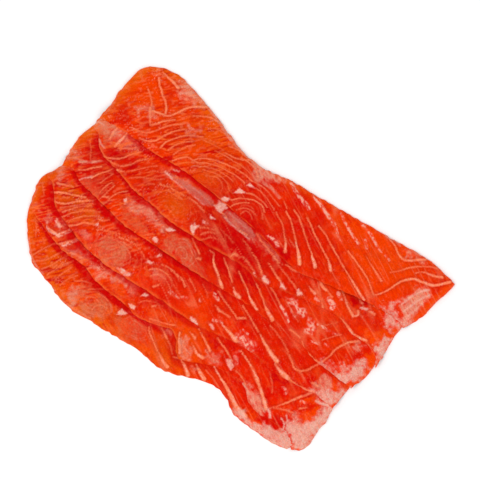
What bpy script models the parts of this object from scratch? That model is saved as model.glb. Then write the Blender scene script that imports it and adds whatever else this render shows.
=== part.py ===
# A piece of smoked salmon fillet, cut into six thin slices that lie over each other like shingles.
# The drawing is in millimetres and the mesh in metres. X runs along the slices, from the back of
# the fish to its belly, Y from the lowest slice to the top one, and Z up from the surface below.

import math

import bmesh
import bpy
import numpy as np
from mathutils import Vector
from mathutils.bvhtree import BVHTree

metres_per_mm = 0.001

# Sizes that drive every slice, in millimetres
flesh_thickness = 2.9      # in the middle of a slice
back_end_thickness = 2.3   # at the end that was the back of the fish
belly_end_thickness = 3.7  # at the fat belly end
rim_height = 1.1           # upright part of a cut edge
rim_lift = 0.4             # how far the rim's underside curls off what it lies on
air_gap = 0.3              # between a slice and what it lies on
hidden_bow = 4.0           # how far a covered back edge bows outward
flake_swell = 0.18         # height of the low swells of the muscle's flakes
flake_pitch = 17.0         # from one flake to the next, along X

cells_along = 43
cells_across = 11
first_cell_mm = 0.9        # the rows next to the edges, which round the rim
second_cell_mm = 2.4

# The height map that the slices are laid on
map_step = 1.0
map_x = np.arange(-110.0, 110.0 + map_step, map_step)
map_y = np.arange(-74.0, 74.0 + map_step, map_step)
sag_passes = 45            # how far a slice bridges a step below it
soften_passes = 60         # and how much softer its upper side is

flesh_colors = {
    "slice_1": "#E2500F",
    "slice_2": "#DC3A0C",
    "slice_3": "#DC3A0C",
    "slice_4": "#DE3F0C",
    "slice_5": "#DE3F0C",
    "slice_6": "#E0480E",
}

# Each slice has four sides that meet at its corners, seen from above. "front" is the cut edge
# that shows, read from left to right. "left" and "right" run from the front to the back edge.
# The top slice's back edge shows too. The others' are covered, and only bow from corner to corner.
slice_sides = {
    "slice_1": {
        "front": [(-99.5, 23.0), (-87, 24.2), (-74.5, 24.5), (-65.5, 23.8), (-47.5, 25.5), (-35.5, 25.3),
                  (-19.5, 24.2), (3, 22), (12.5, 20.5), (23.5, 18), (35.5, 17), (48, 19.5), (72.5, 25.2),
                  (92, 27), (96.7, 25.5)],
        "left": [(-100.3, 32.5), (-101.2, 42.5), (-101, 51), (-99.5, 59)],
        "right": [(99.5, 32), (102, 42.5), (103.8, 53.8)],
        "back": [(-96.4, 63.1), (-88, 67.4), (-79.2, 68.4), (-63.2, 65.1), (-49.5, 61.5), (-36.7, 57),
                 (-24.3, 53.6), (-10.8, 53.1), (0.5, 55.6), (30.8, 58.6), (60.8, 61.4), (88.8, 63.8),
                 (99, 62.2), (104.9, 61.5)],
    },
    "slice_2": {
        "front": [(-100, 17.3), (-94, 15.2), (-90.5, 10.9), (-83.5, 6.8), (-74.3, 4.8), (-58.4, 1),
                  (-45.2, 0), (-35.6, -1.4), (-22, -1), (11.2, 2), (24.5, 1), (46, 7), (67.2, 10),
                  (75, 7.2), (84.7, 7.2), (91.5, 6.2), (97.3, -0.3)],
        "left": [(-100.5, 24), (-97, 33)],
        "right": [(96.3, 10), (95.5, 19.5), (95.5, 28), (93.5, 35)],
        "back": [(-88, 40), (86, 40)],
    },
    "slice_3": {
        "front": [(-99, -9.8), (-93, -8.3), (-85.5, -11.6), (-72.2, -13.9), (-59.9, -16.1), (-47.2, -17.4),
                  (-37.8, -16.6), (-7.3, -15.6), (26, -12.8), (41, -13.2), (60.6, -12.9), (67.6, -15.3),
                  (77.4, -16.1), (92.8, -16.2)],
        "left": [(-100.7, -4.5), (-102.5, 5), (-101.4, 15), (-97.5, 24)],
        "right": [(95.7, -4.5), (95.2, 5), (92, 11)],
        "back": [(-90, 28), (86, 14)],
    },
    "slice_4": {
        "front": [(-102.5, -19), (-98, -20), (-93.1, -24), (-87.9, -29.6), (-73.7, -34.9), (-63.8, -37.6),
                  (-47.2, -39.3), (-16.8, -37.2), (11.4, -36.5), (31.2, -32.3), (41.7, -31.3), (55.7, -33),
                  (73.9, -31), (83.6, -29.5), (90.9, -30)],
        "left": [(-101, -13.5), (-98.5, -5), (-95.5, 1)],
        "right": [(91.7, -23), (91.5, -12), (89, -5)],
        "back": [(-90, 4), (84, -2)],
    },
    "slice_5": {
        "front": [(-99.5, -37.7), (-90, -41), (-79.6, -44), (-69.3, -46.2), (-55.8, -46.2), (-44.9, -49),
                  (-29.4, -49.7), (-15.5, -50.8), (-4, -47.5), (1.5, -46), (6, -48.5), (9.8, -53.6),
                  (13.6, -55.6), (23, -51.4), (30.4, -48.4), (43.4, -46.4), (50, -48.4), (55.2, -52.7),
                  (62, -54.2), (77, -53), (82, -54.5), (86.6, -58.8)],
        "left": [(-102.5, -29.5), (-104.8, -22), (-101.5, -14), (-96.5, -8.5)],
        "right": [(90.5, -55.8), (92.4, -51), (92, -44), (92.4, -37), (91, -28), (88, -20)],
        "back": [(-90, -5), (82, -14)],
    },
    "slice_6": {
        "front": [(-79, -61.1), (-68.4, -63.2), (-50.1, -68), (-33.7, -66.8), (-19.3, -65.6), (-7.6, -64.4),
                  (8.2, -65.2), (18.9, -62.1), (27.9, -58), (35.7, -55.9), (44.4, -57.2), (52.1, -61.4),
                  (64.3, -62.2), (79.3, -61.2), (84.5, -59.9)],
        "left": [(-90.4, -50.6), (-99.4, -38.5), (-99.5, -29)],
        "right": [(87, -55), (86.5, -47), (84, -40)],
        "back": [(-90, -21), (79, -34)],
    },
}


def linear_color(hex_color):
    """sRGB hex to the linear colour that a shader takes."""
    channels = [int(hex_color[i:i + 2], 16) / 255 for i in (1, 3, 5)]
    linear = [c / 12.92 if c <= 0.04045 else ((c + 0.055) / 1.055) ** 2.4 for c in channels]
    return (*linear, 1.0)


def smooth_curve(points, per_span=16):
    """A fine polyline through the points, rounded between them as a centripetal curve."""
    p = np.array(points, dtype=float)
    p = np.vstack([2 * p[0] - p[1], p, 2 * p[-1] - p[-2]])
    knots = np.concatenate([[0], np.cumsum(np.sqrt(np.linalg.norm(np.diff(p, axis=0), axis=1)))])
    curve = []
    for i in range(1, len(p) - 2):
        k = knots[i - 1:i + 3]
        for t in np.linspace(k[1], k[2], per_span, endpoint=False):
            a = [((k[j + 1] - t) * p[i - 1 + j] + (t - k[j]) * p[i + j]) / (k[j + 1] - k[j]) for j in range(3)]
            b = [((k[j + 2] - t) * a[j] + (t - k[j]) * a[j + 1]) / (k[j + 2] - k[j]) for j in range(2)]
            curve.append(((k[2] - t) * b[0] + (t - k[1]) * b[1]) / (k[2] - k[1]))
    curve.append(p[-2])
    return np.array(curve)


def at_fractions(curve, fractions):
    """Points of a polyline at the given fractions of its length."""
    run = np.concatenate([[0], np.cumsum(np.linalg.norm(np.diff(curve, axis=0), axis=1))])
    run /= run[-1]
    return np.stack([np.interp(fractions, run, curve[:, axis]) for axis in (0, 1)], axis=1)


def rim_spaced(cells, length):
    """Fractions of a side: two narrow cells at each end that round the rim, even ones between."""
    near = first_cell_mm / length
    next_one = second_cell_mm / length
    inner = np.linspace(next_one, 1 - next_one, cells - 3)
    return np.concatenate([[0, near], inner, [1 - near, 1]])


def slice_plan(sides):
    """The grid of a slice seen from above, and each grid point's distance from the rim."""
    back = smooth_curve(sides["back"]) if len(sides["back"]) > 2 else bowed_edge(*sides["back"])
    front = smooth_curve(sides["front"])
    left = smooth_curve([sides["front"][0], *sides["left"], sides["back"][0]])
    right = smooth_curve([sides["front"][-1], *sides["right"], sides["back"][-1]])
    length = np.linalg.norm(front[-1] - front[0])
    width = np.linalg.norm(left[-1] - left[0])
    u = rim_spaced(cells_along, length)
    v = rim_spaced(cells_across, width)
    low = at_fractions(front, u)
    high = at_fractions(back, u)
    start = at_fractions(left, v)
    end = at_fractions(right, v)
    uu = u[:, None, None]
    vv = v[None, :, None]
    across = (1 - vv) * low[:, None] + vv * high[:, None]
    along = (1 - uu) * start[None] + uu * end[None]
    corners = ((1 - uu) * (1 - vv) * low[0] + uu * (1 - vv) * low[-1]
               + (1 - uu) * vv * high[0] + uu * vv * high[-1])
    rim = np.minimum(np.minimum(u, 1 - u)[:, None] * length, np.minimum(v, 1 - v)[None] * width)
    return across + along - corners, rim


def bowed_edge(start, end):
    """A covered edge: straight from corner to corner, bowed outward in the middle."""
    t = np.linspace(0, 1, 33)
    x = start[0] + (end[0] - start[0]) * t
    y = start[1] + (end[1] - start[1]) * t + hidden_bow * np.sin(math.pi * t)
    return np.stack([x, y], axis=1)


def read_map(height_map, plan):
    """Heights of a map at plan points, linear between its cells."""
    fx = np.clip((plan[..., 0] - map_x[0]) / map_step, 0, len(map_x) - 1.001)
    fy = np.clip((plan[..., 1] - map_y[0]) / map_step, 0, len(map_y) - 1.001)
    ix = fx.astype(int)
    iy = fy.astype(int)
    fx = fx - ix
    fy = fy - iy
    low = height_map[ix, iy] * (1 - fx) + height_map[ix + 1, iy] * fx
    high = height_map[ix, iy + 1] * (1 - fx) + height_map[ix + 1, iy + 1] * fx
    return low * (1 - fy) + high * fy


def neighbours(height_map):
    """The four neighbours of each cell of a map, as four shifted maps."""
    wide = np.pad(height_map, 1, mode="edge")
    return [wide[2:, 1:-1], wide[:-2, 1:-1], wide[1:-1, 2:], wide[1:-1, :-2]]


def grown(height_map):
    """Each cell raised to its highest neighbour, so a step counts from its outer side."""
    once = np.maximum.reduce([height_map, *neighbours(height_map)])
    return np.maximum.reduce([once, *neighbours(once)])


def laid_over(height_map, passes):
    """A soft sheet that sags onto the map without dipping into it."""
    sheet = height_map.copy()
    for _ in range(passes):
        sheet = np.maximum(height_map, sum(neighbours(sheet)) / 4)
    return sheet


def lift_clear(plan, under, obstacle):
    """Raise the corners of the underside's triangles until each triangle clears the obstacle."""
    shape = under.shape
    index = np.arange(under.size).reshape(shape)
    a, b, c, d = index[:-1, :-1], index[1:, :-1], index[1:, 1:], index[:-1, 1:]
    triangles = np.concatenate([np.stack([a, b, c], -1).reshape(-1, 3), np.stack([a, c, d], -1).reshape(-1, 3)])
    steps = 6
    weights = np.array([(i, j, steps - i - j) for i in range(steps + 1) for j in range(steps + 1 - i)]) / steps
    points = np.einsum("sk,tkc->tsc", weights, plan.reshape(-1, 2)[triangles])
    floor = read_map(obstacle, points)
    height = under.ravel().copy()
    enough = np.zeros_like(height)
    np.maximum.at(enough, triangles, floor.max(axis=1)[:, None])
    for _ in range(200):
        short = floor - np.einsum("sk,tk->ts", weights, height[triangles])
        if short.max() < 0.001:
            break
        raise_by = np.maximum(short, 0)[..., None] * weights
        lift = np.zeros_like(height)
        np.maximum.at(lift, triangles, raise_by.max(axis=1))
        height = np.maximum(height, np.minimum(height + lift, enough))
    return height.reshape(shape)


def slice_surfaces(plan, rim, obstacle):
    """Heights of a slice's underside and upper side over its plan grid."""
    x = plan[..., 0]
    y = plan[..., 1]
    curl = rim_lift * np.clip(1 - rim / first_cell_mm, 0, 1)
    under = lift_clear(plan, read_map(laid_over(obstacle, sag_passes), plan), obstacle) + curl
    thickness = np.interp(x, [-105, -70, 40, 80, 105],
                          [back_end_thickness, flesh_thickness, flesh_thickness, belly_end_thickness,
                           belly_end_thickness])
    swell = flake_swell * np.cos((x - 0.45 * y) * 2 * math.pi / flake_pitch) * np.clip(rim / 8, 0, 1)
    rounding = np.sqrt(np.clip(1 - (1 - np.clip(rim / second_cell_mm, 0, 1)) ** 2, 0, 1))
    rim_top = rim_lift + rim_height
    soft = read_map(laid_over(laid_over(obstacle, sag_passes), soften_passes), plan)
    above = np.maximum(soft, under - curl) + rim_top + (thickness + swell - rim_top) * rounding
    return under, above


def slice_mesh(name, plan, under, above):
    """A closed mesh: the upper grid, the underside's grid and the upright rim between them."""
    mesh = bpy.data.meshes.new(name)
    bm = bmesh.new()
    rows, columns = under.shape
    tops = [[bm.verts.new((*plan[i, j], above[i, j])) for j in range(columns)] for i in range(rows)]
    bottoms = [[bm.verts.new((*plan[i, j], under[i, j])) for j in range(columns)] for i in range(rows)]
    for i in range(rows - 1):
        for j in range(columns - 1):
            for a, b, c in (((i, j), (i + 1, j), (i + 1, j + 1)), ((i, j), (i + 1, j + 1), (i, j + 1))):
                bm.faces.new([tops[a[0]][a[1]], tops[b[0]][b[1]], tops[c[0]][c[1]]])
                bm.faces.new([bottoms[c[0]][c[1]], bottoms[b[0]][b[1]], bottoms[a[0]][a[1]]])
    loop = ([(i, 0) for i in range(rows - 1)] + [(rows - 1, j) for j in range(columns - 1)]
            + [(i, columns - 1) for i in range(rows - 1, 0, -1)] + [(0, j) for j in range(columns - 1, 0, -1)])
    for (i, j), (m, n) in zip(loop, loop[1:] + loop[:1]):
        bm.faces.new([bottoms[i][j], bottoms[m][n], tops[m][n], tops[i][j]])
    bmesh.ops.scale(bm, vec=Vector((1, 1, 1)) * metres_per_mm, verts=bm.verts)
    bmesh.ops.recalc_face_normals(bm, faces=bm.faces)
    bm.to_mesh(mesh)
    bm.free()
    mesh.shade_smooth()
    mesh.set_sharp_from_angle(angle=math.radians(40))
    return mesh


def flesh_material(name):
    """Wet smoked flesh: orange-red, fairly glossy."""
    material = bpy.data.materials.new(name + "_flesh")
    material.use_nodes = True
    shader = material.node_tree.nodes["Principled BSDF"]
    shader.inputs["Base Color"].default_value = linear_color(flesh_colors[name])
    shader.inputs["Roughness"].default_value = 0.35
    shader.inputs["Metallic"].default_value = 0.0
    return material


def upper_heights(mesh):
    """A height map of a slice's upper side, zero where the slice isn't."""
    points = [v.co.copy() for v in mesh.vertices]
    tree = BVHTree.FromPolygons(points, [tuple(p.vertices) for p in mesh.polygons])
    heights = np.zeros((len(map_x), len(map_y)))
    from_above = 0.1
    down = Vector((0, 0, -1))
    for i, x in enumerate(map_x):
        for j, y in enumerate(map_y):
            hit = tree.ray_cast(Vector((x * metres_per_mm, y * metres_per_mm, from_above)), down)[0]
            if hit is not None:
                heights[i, j] = hit.z / metres_per_mm
    return heights


for old in list(bpy.data.objects):
    bpy.data.objects.remove(old, do_unlink=True)

pile = np.zeros((len(map_x), len(map_y)))
for slice_name in reversed(slice_sides):
    slice_grid, rim_distance = slice_plan(slice_sides[slice_name])
    rest_on = grown(np.where(pile > 0, pile + air_gap, 0))
    underside, upperside = slice_surfaces(slice_grid, rim_distance, rest_on)
    slice_data = slice_mesh(slice_name, slice_grid, underside, upperside)
    slice_data.materials.append(flesh_material(slice_name))
    slice_object = bpy.data.objects.new(slice_name, slice_data)
    bpy.context.scene.collection.objects.link(slice_object)
    pile = np.maximum(pile, upper_heights(slice_data))
    print(slice_name, "triangles", sum(len(p.vertices) - 2 for p in slice_data.polygons),
          "highest point", round(float(upperside.max()), 2), "mm")
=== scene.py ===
# A piece of smoked salmon fillet: six thin wet slices that lie over each other like shingles.
# X runs along the slices, from the back of the fish to its fat belly, and Y up the pile of slices.
import math

import bpy
import numpy as np
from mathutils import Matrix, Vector
from mathutils.bvhtree import BVHTree


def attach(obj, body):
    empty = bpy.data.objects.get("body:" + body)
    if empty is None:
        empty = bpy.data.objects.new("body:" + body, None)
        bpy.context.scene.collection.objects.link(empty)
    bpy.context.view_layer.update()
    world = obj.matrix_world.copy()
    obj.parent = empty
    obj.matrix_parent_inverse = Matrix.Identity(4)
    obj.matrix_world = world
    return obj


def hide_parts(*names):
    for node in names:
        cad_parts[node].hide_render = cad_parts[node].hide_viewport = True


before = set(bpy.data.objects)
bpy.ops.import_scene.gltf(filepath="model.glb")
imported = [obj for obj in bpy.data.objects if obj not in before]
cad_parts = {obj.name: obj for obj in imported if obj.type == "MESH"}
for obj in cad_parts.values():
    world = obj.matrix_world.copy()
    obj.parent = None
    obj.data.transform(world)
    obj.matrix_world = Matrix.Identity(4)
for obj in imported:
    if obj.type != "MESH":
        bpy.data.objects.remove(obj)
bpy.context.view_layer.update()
print("frame loaded:", len(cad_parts), "nodes")

metresPerMm = 0.001

# The camera, at the photograph's angle
photoCamera = {
    "azimuthDeg": 36.5,
    "elevationDeg": 75.0,
    "lensMm": 100.0,
    "sensorMm": 36.0,
    "spanMm": 252.0,            # what the picture's width covers at the fillet
    "pictureSide": 480,
    "originPx": (223.1, 259.8),  # where the frame's origin falls in the picture
}

# What every slice shares
sliceShape = {
    "cellMm": 0.37,             # size of a mesh cell where the slice shows
    "coveredCells": 9,          # rows under the slice above
    "coveredMarginMm": 4.0,     # how far the fine rows reach under the slice above
    "shownAtMost": 0.93,        # and the share of the slice's width that they may take
    "rimCells": 3,              # the solid's rounded rim, in cells of the height maps, which isn't measured
    "thicknessSoftMm": 2.0,     # the solid's facets are smoothed over these widths
    "undersideSoftMm": 1.2,
    "sideTaperMm": 3.2,         # over this width the outer edges round down
    "frontTaperMm": 25.0,       # the long soft slope down to a front edge
    "floorFrontTaperMm": 4.5,   # and the shorter one of the lowest slice, which lies on the floor
    "edgeMm": 0.26,             # height of the cut edge itself
    "edgeThinning": 0.6,        # the share of it that is lost towards the belly
    "pressMm": 0.12,            # how far the edge sinks into the slice below
    "drapeMm": 2.4,             # how far the edge may sink towards what it lies on
    "floorGapMm": 0.03,
    "undersideShare": 0.3,      # how much of the underside's mesh is kept
    "undersideRimMm": 0.6,      # all of it is kept this near the outline
    "swellMm": 0.24,            # low swells of the surface
    "swellSizeMm": 8.0,
    "rippleMm": 0.07,           # finer unevenness
    "rippleSizeMm": 2.3,
    "raggedMm": 0.38,           # unevenness of the outline
    "raggedSizeMm": 2.2,
    "rimMm": 3.0,               # over this width the outline is ragged and the swells fade out
    "fadeUnderMm": 3.0,         # how far under the slice above the relief fades out
    "fatRiseMm": 0.09,          # fat stands a little proud of the flesh
}
clearMm = 99.0                  # stands for a point that lies under nothing

# Each slice has four sides that meet at its corners, seen from above, in millimetres. "front" is the cut
# edge that shows, read from left to right. "left" and "right" run from the front to the back edge. The top
# slice's back edge shows too. The others' are covered, and only bow from corner to corner.
hiddenBowMm = 4.0
sliceSides = {
    "slice_1": {
        "front": [(-99.5, 23.0), (-87, 24.2), (-74.5, 24.5), (-65.5, 23.8), (-47.5, 25.5), (-35.5, 25.3),
                  (-19.5, 24.2), (3, 22), (12.5, 20.5), (23.5, 18), (35.5, 17), (48, 19.5), (72.5, 25.2),
                  (92, 27), (96.7, 25.5)],
        "left": [(-100.3, 32.5), (-101.2, 42.5), (-101, 51), (-99.5, 59)],
        "right": [(99.5, 32), (102, 42.5), (103.8, 53.8)],
        "back": [(-96.4, 63.1), (-88, 67.4), (-79.2, 68.4), (-63.2, 65.1), (-49.5, 61.5), (-36.7, 57),
                 (-24.3, 53.6), (-10.8, 53.1), (0.5, 55.6), (30.8, 58.6), (60.8, 61.4), (88.8, 63.8),
                 (99, 62.2), (104.9, 61.5)],
    },
    "slice_2": {
        "front": [(-100, 17.3), (-94, 15.2), (-90.5, 10.9), (-83.5, 6.8), (-74.3, 4.8), (-58.4, 1),
                  (-45.2, 0), (-35.6, -1.4), (-22, -1), (11.2, 2), (24.5, 1), (46, 7), (67.2, 10),
                  (75, 7.2), (84.7, 7.2), (91.5, 6.2), (97.3, -0.3)],
        "left": [(-100.5, 24), (-97, 33)],
        "right": [(96.3, 10), (95.5, 19.5), (95.5, 28), (93.5, 35)],
        "back": [(-88, 40), (86, 40)],
    },
    "slice_3": {
        "front": [(-99, -9.8), (-93, -8.3), (-85.5, -11.6), (-72.2, -13.9), (-59.9, -16.1), (-47.2, -17.4),
                  (-37.8, -16.6), (-7.3, -15.6), (26, -12.8), (41, -13.2), (60.6, -12.9), (67.6, -15.3),
                  (77.4, -16.1), (92.8, -16.2)],
        "left": [(-100.7, -4.5), (-102.5, 5), (-101.4, 15), (-97.5, 24)],
        "right": [(95.7, -4.5), (95.2, 5), (92, 11)],
        "back": [(-90, 28), (86, 14)],
    },
    "slice_4": {
        "front": [(-102.5, -19), (-98, -20), (-93.1, -24), (-87.9, -29.6), (-73.7, -34.9), (-63.8, -37.6),
                  (-47.2, -39.3), (-16.8, -37.2), (11.4, -36.5), (31.2, -32.3), (41.7, -31.3), (55.7, -33),
                  (73.9, -31), (83.6, -29.5), (90.9, -30)],
        "left": [(-101, -13.5), (-98.5, -5), (-95.5, 1)],
        "right": [(91.7, -23), (91.5, -12), (89, -5)],
        "back": [(-90, 4), (84, -2)],
    },
    "slice_5": {
        "front": [(-99.5, -37.7), (-90, -41), (-79.6, -44), (-69.3, -46.2), (-55.8, -46.2), (-44.9, -49),
                  (-29.4, -49.7), (-15.5, -50.8), (-4, -47.5), (1.5, -46), (6, -48.5), (9.8, -53.6),
                  (13.6, -55.6), (23, -51.4), (30.4, -48.4), (43.4, -46.4), (50, -48.4), (55.2, -52.7),
                  (62, -54.2), (77, -53), (82, -54.5), (86.6, -58.8)],
        "left": [(-102.5, -29.5), (-104.8, -22), (-101.5, -14), (-96.5, -8.5)],
        "right": [(90.5, -55.8), (92.4, -51), (92, -44), (92.4, -37), (91, -28), (88, -20)],
        "back": [(-90, -5), (82, -14)],
    },
    "slice_6": {
        "front": [(-79, -61.1), (-68.4, -63.2), (-50.1, -68), (-33.7, -66.8), (-19.3, -65.6), (-7.6, -64.4),
                  (8.2, -65.2), (18.9, -62.1), (27.9, -58), (35.7, -55.9), (44.4, -57.2), (52.1, -61.4),
                  (64.3, -62.2), (79.3, -61.2), (84.5, -59.9)],
        "left": [(-90.4, -50.6), (-99.4, -38.5), (-99.5, -29)],
        "right": [(87, -55), (86.5, -47), (84, -40)],
        "back": [(-90, -21), (79, -34)],
    },
}
sliceNames = list(sliceSides)
lowestSlice = sliceNames[-1]

# The marbling, read off enlarged pieces of the photograph, in its pixels. A line has its finish, its
# width at its start and its end, its strength and the points that it runs through. A patch has its finish,
# its strength and the points of its outline.
# Some of the marks are painted light: the frost's glints, the sheen of film and veil, and the shade in many
# deep red patches.
marblingLines, marblingPatches = {}, {}

marblingLines["slice_1"] = [
    ("fat", 2.2, 2.2, 0.9, (159, 78), (159.5, 84), (161.5, 92), (164.5, 100), (166, 107), (165.5, 114)),
    ("fat", 1.6, 1.8, 0.7, (148, 89), (150.5, 95), (151.5, 101), (151.5, 106)),
    ("fat", 2.5, 3.5, 0.8, (163, 72), (168, 77), (173, 82), (178, 88)),
    ("fat", 2.6, 2.2, 0.8, (153, 111), (160, 114), (168, 116), (176, 113.5), (184, 109.5), (193, 107),
     (207, 107)),
    ("fat", 3, 2, 0.6, (150, 108), (150.5, 116), (150, 124)),
    ("fat", 2.2, 1.8, 0.85, (150, 125), (157, 123.5), (165, 121.5), (175, 120)),
    ("fat", 1.6, 1.8, 0.7, (131, 127), (138, 130), (146, 133), (154, 131.5), (160, 129), (168, 126),
     (181, 124)),
    ("fat", 2, 1.6, 0.8, (140, 138), (148, 141), (156, 140), (164, 135.5), (172, 132), (184, 129.5)),
    ("fat", 1.8, 1.4, 0.8, (160, 147.5), (166, 142), (174, 138.5), (182, 136), (190, 135.5), (203, 137)),
    ("fat", 1.5, 1.3, 0.75, (168, 150), (174, 146), (181, 143), (192, 141.5)),
    ("fat", 1.4, 1.2, 0.6, (174, 154), (180, 149.5), (187, 146.5), (195, 145)),
    ("fat", 1.6, 1.4, 0.75, (172, 161), (180, 158), (187, 157), (193, 160), (199, 163)),
    ("fat", 1.4, 1.6, 0.8, (193, 116), (201, 116), (210, 117.5), (218, 121)),
    ("fat", 1.4, 1.4, 0.5, (211, 128.5), (219, 130), (225, 134)),
    ("fat", 1.3, 1.3, 0.4, (203, 140), (214, 145), (224, 150)),
    ("fat", 1.6, 1.4, 0.75, (193, 160), (202, 158), (212, 159.5), (224, 163.5), (236, 169), (245, 175),
     (252, 181)),
    ("fat", 1.4, 1.4, 0.7, (197, 163), (207, 163), (217, 166), (228, 171), (238, 177), (245, 183)),
    ("fat", 1.3, 1.3, 0.65, (199, 166.5), (209, 167.5), (219, 171), (227, 176), (233, 181)),
    ("fat", 1.3, 1.2, 0.55, (203, 170), (213, 172.5), (221, 177), (227, 183), (229, 191)),
    ("fat", 1.2, 1, 0.45, (209, 176), (216, 177.5), (221, 182), (222.5, 188), (221, 193)),
    ("fat", 1.3, 1.3, 0.6, (215, 151), (225, 155.5), (234, 161), (243, 167), (251, 174)),
    ("fat", 1.4, 1.6, 0.75, (226, 153), (233, 156.5), (241, 159.5), (249, 160)),
    ("fat", 1.4, 2.2, 0.7, (241, 158), (248, 162), (255, 169), (258, 176)),
    ("fat", 1.3, 1.3, 0.6, (229, 146), (238, 150), (245, 155)),
    ("fat", 1.6, 1.4, 0.75, (231, 200), (239, 198.5), (248, 199), (256, 201), (262, 206), (264, 212)),
    ("fat", 1.4, 1.2, 0.7, (230, 207), (237, 204), (244, 202.5), (249, 203)),
    ("fat", 1.2, 1.2, 0.5, (237, 210), (244, 208.5), (251, 210.5), (256, 215)),
    ("fat", 1.2, 1, 0.45, (241, 214), (246, 211.5), (250, 214), (252, 219)),
    ("fat", 1.4, 1.2, 0.55, (262, 213), (262.5, 219)),
    ("fat", 1.6, 1.3, 0.6, (247, 193), (255, 195.5), (261, 200), (267, 207)),
    ("fat", 1.4, 1.3, 0.55, (256, 188), (264, 195), (270, 202), (274, 210)),
    ("fat", 1.4, 1.2, 0.5, (253, 181), (262, 186), (270, 194), (279, 206)),
    ("fat", 1.3, 1.6, 0.65, (276, 212), (280, 220), (283, 228), (284, 236)),
    ("fat", 3, 3.4, 0.95, (284, 236), (286, 243), (285, 252)),
    ("fat", 1.2, 1.2, 0.5, (284, 202), (287, 209)),
    ("fat", 1.5, 1.8, 0.8, (286, 212), (290, 219), (292.5, 228), (295, 238), (296, 243)),
    ("fat", 3.4, 4.6, 0.98, (296, 243), (298, 251), (299.5, 264)),
    ("fat", 1.2, 1.4, 0.5, (290, 240), (295, 247)),
    ("fat", 1.6, 1.8, 0.8, (294, 210), (299, 218), (303, 228), (306, 239), (310, 250)),
    ("fat", 3, 4.8, 0.98, (311, 252), (313, 259), (315, 267)),
    ("fat", 1.6, 1.8, 0.8, (307, 218), (312, 228), (318, 241), (324, 252), (328, 259)),
    ("fat", 2.6, 4.2, 0.9, (328, 260), (331, 270)),
    ("fat", 1.4, 1.2, 0.5, (331, 270), (336, 279), (340, 286)),
    ("fat", 1.6, 2.2, 0.8, (319, 226), (326, 235), (332, 246), (338, 257), (344, 267)),
    ("fat", 2.4, 3.4, 0.85, (344, 267), (351, 279), (357, 289), (364, 300)),
    ("fat", 1.8, 1.8, 0.85, (348, 251), (356, 262), (363, 272), (368, 280), (371, 288), (373, 294)),
    ("fat", 1.4, 2.6, 0.75, (366, 256), (372, 266), (377, 274), (381, 281)),
    ("fat", 2.6, 3.2, 0.95, (373, 295), (381, 293.5), (388, 290), (396, 284.5), (404, 280.5), (413, 279),
     (421, 281.5), (429, 284.5), (437, 285), (450, 282)),
    ("fat", 1.2, 1.8, 0.7, (390, 272.5), (399, 270.5), (408, 268), (418, 266.5), (428, 266.5), (437, 268.5)),
    ("fat", 2.5, 3, 0.9, (416, 273), (423, 272), (430, 275), (436, 277), (442, 277.5)),
    ("fat", 3, 2.6, 0.8, (390, 239), (395, 246), (398, 253), (402, 259), (409, 261), (417, 260), (426, 259)),
    ("frost", 4, 5, 0.8, (291, 184), (297, 193), (303, 201), (309, 208)),
    ("frost", 3, 5, 0.85, (313, 195), (321, 206), (329, 217), (334, 224)),
    ("frost", 3.5, 2.5, 0.6, (334, 224), (339, 236), (342, 241)),
    ("frost", 2.5, 3.2, 0.85, (341, 214), (346, 224), (351, 233), (359, 244)),
    ("frost", 3, 2.5, 0.75, (362, 224), (368, 231), (374, 240), (376, 245)),
    ("frost", 3, 3, 0.55, (365, 240), (367, 248)),
    ("frost", 2.5, 2, 0.5, (376, 246), (381, 252)),
    ("frost", 3, 3, 0.45, (385, 255), (389, 260)),
    ("film", 6, 6, 0.9, (205, 102), (213, 112), (222, 125), (231, 138), (240, 149), (250, 158), (262, 168)),
    ("film", 5, 4, 0.5, (262, 181), (271, 188), (279, 197)),
    ("film", 6, 6, 0.45, (136, 108), (144, 108), (152, 110)),
    ("film", 4.5, 3, 0.55, (138, 108), (138.5, 117)),
    ("film", 3, 3, 0.6, (386, 236), (394, 240), (400, 246)),
    ("frost", 3, 4, 0.8, (268, 236), (275, 240), (278, 246)),
    ("white", 2, 2.6, 0.65, (402, 304), (410, 298), (419, 292), (429, 290)),
    ("white", 1.8, 2.2, 0.55, (404, 311), (412, 305), (421, 299), (431, 295)),
    ("white", 2, 1.6, 0.5, (408, 316), (415, 310), (423, 303)),
    ("white", 1.4, 1.6, 0.5, (405, 300), (412, 295), (419, 288.5)),
]
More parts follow.
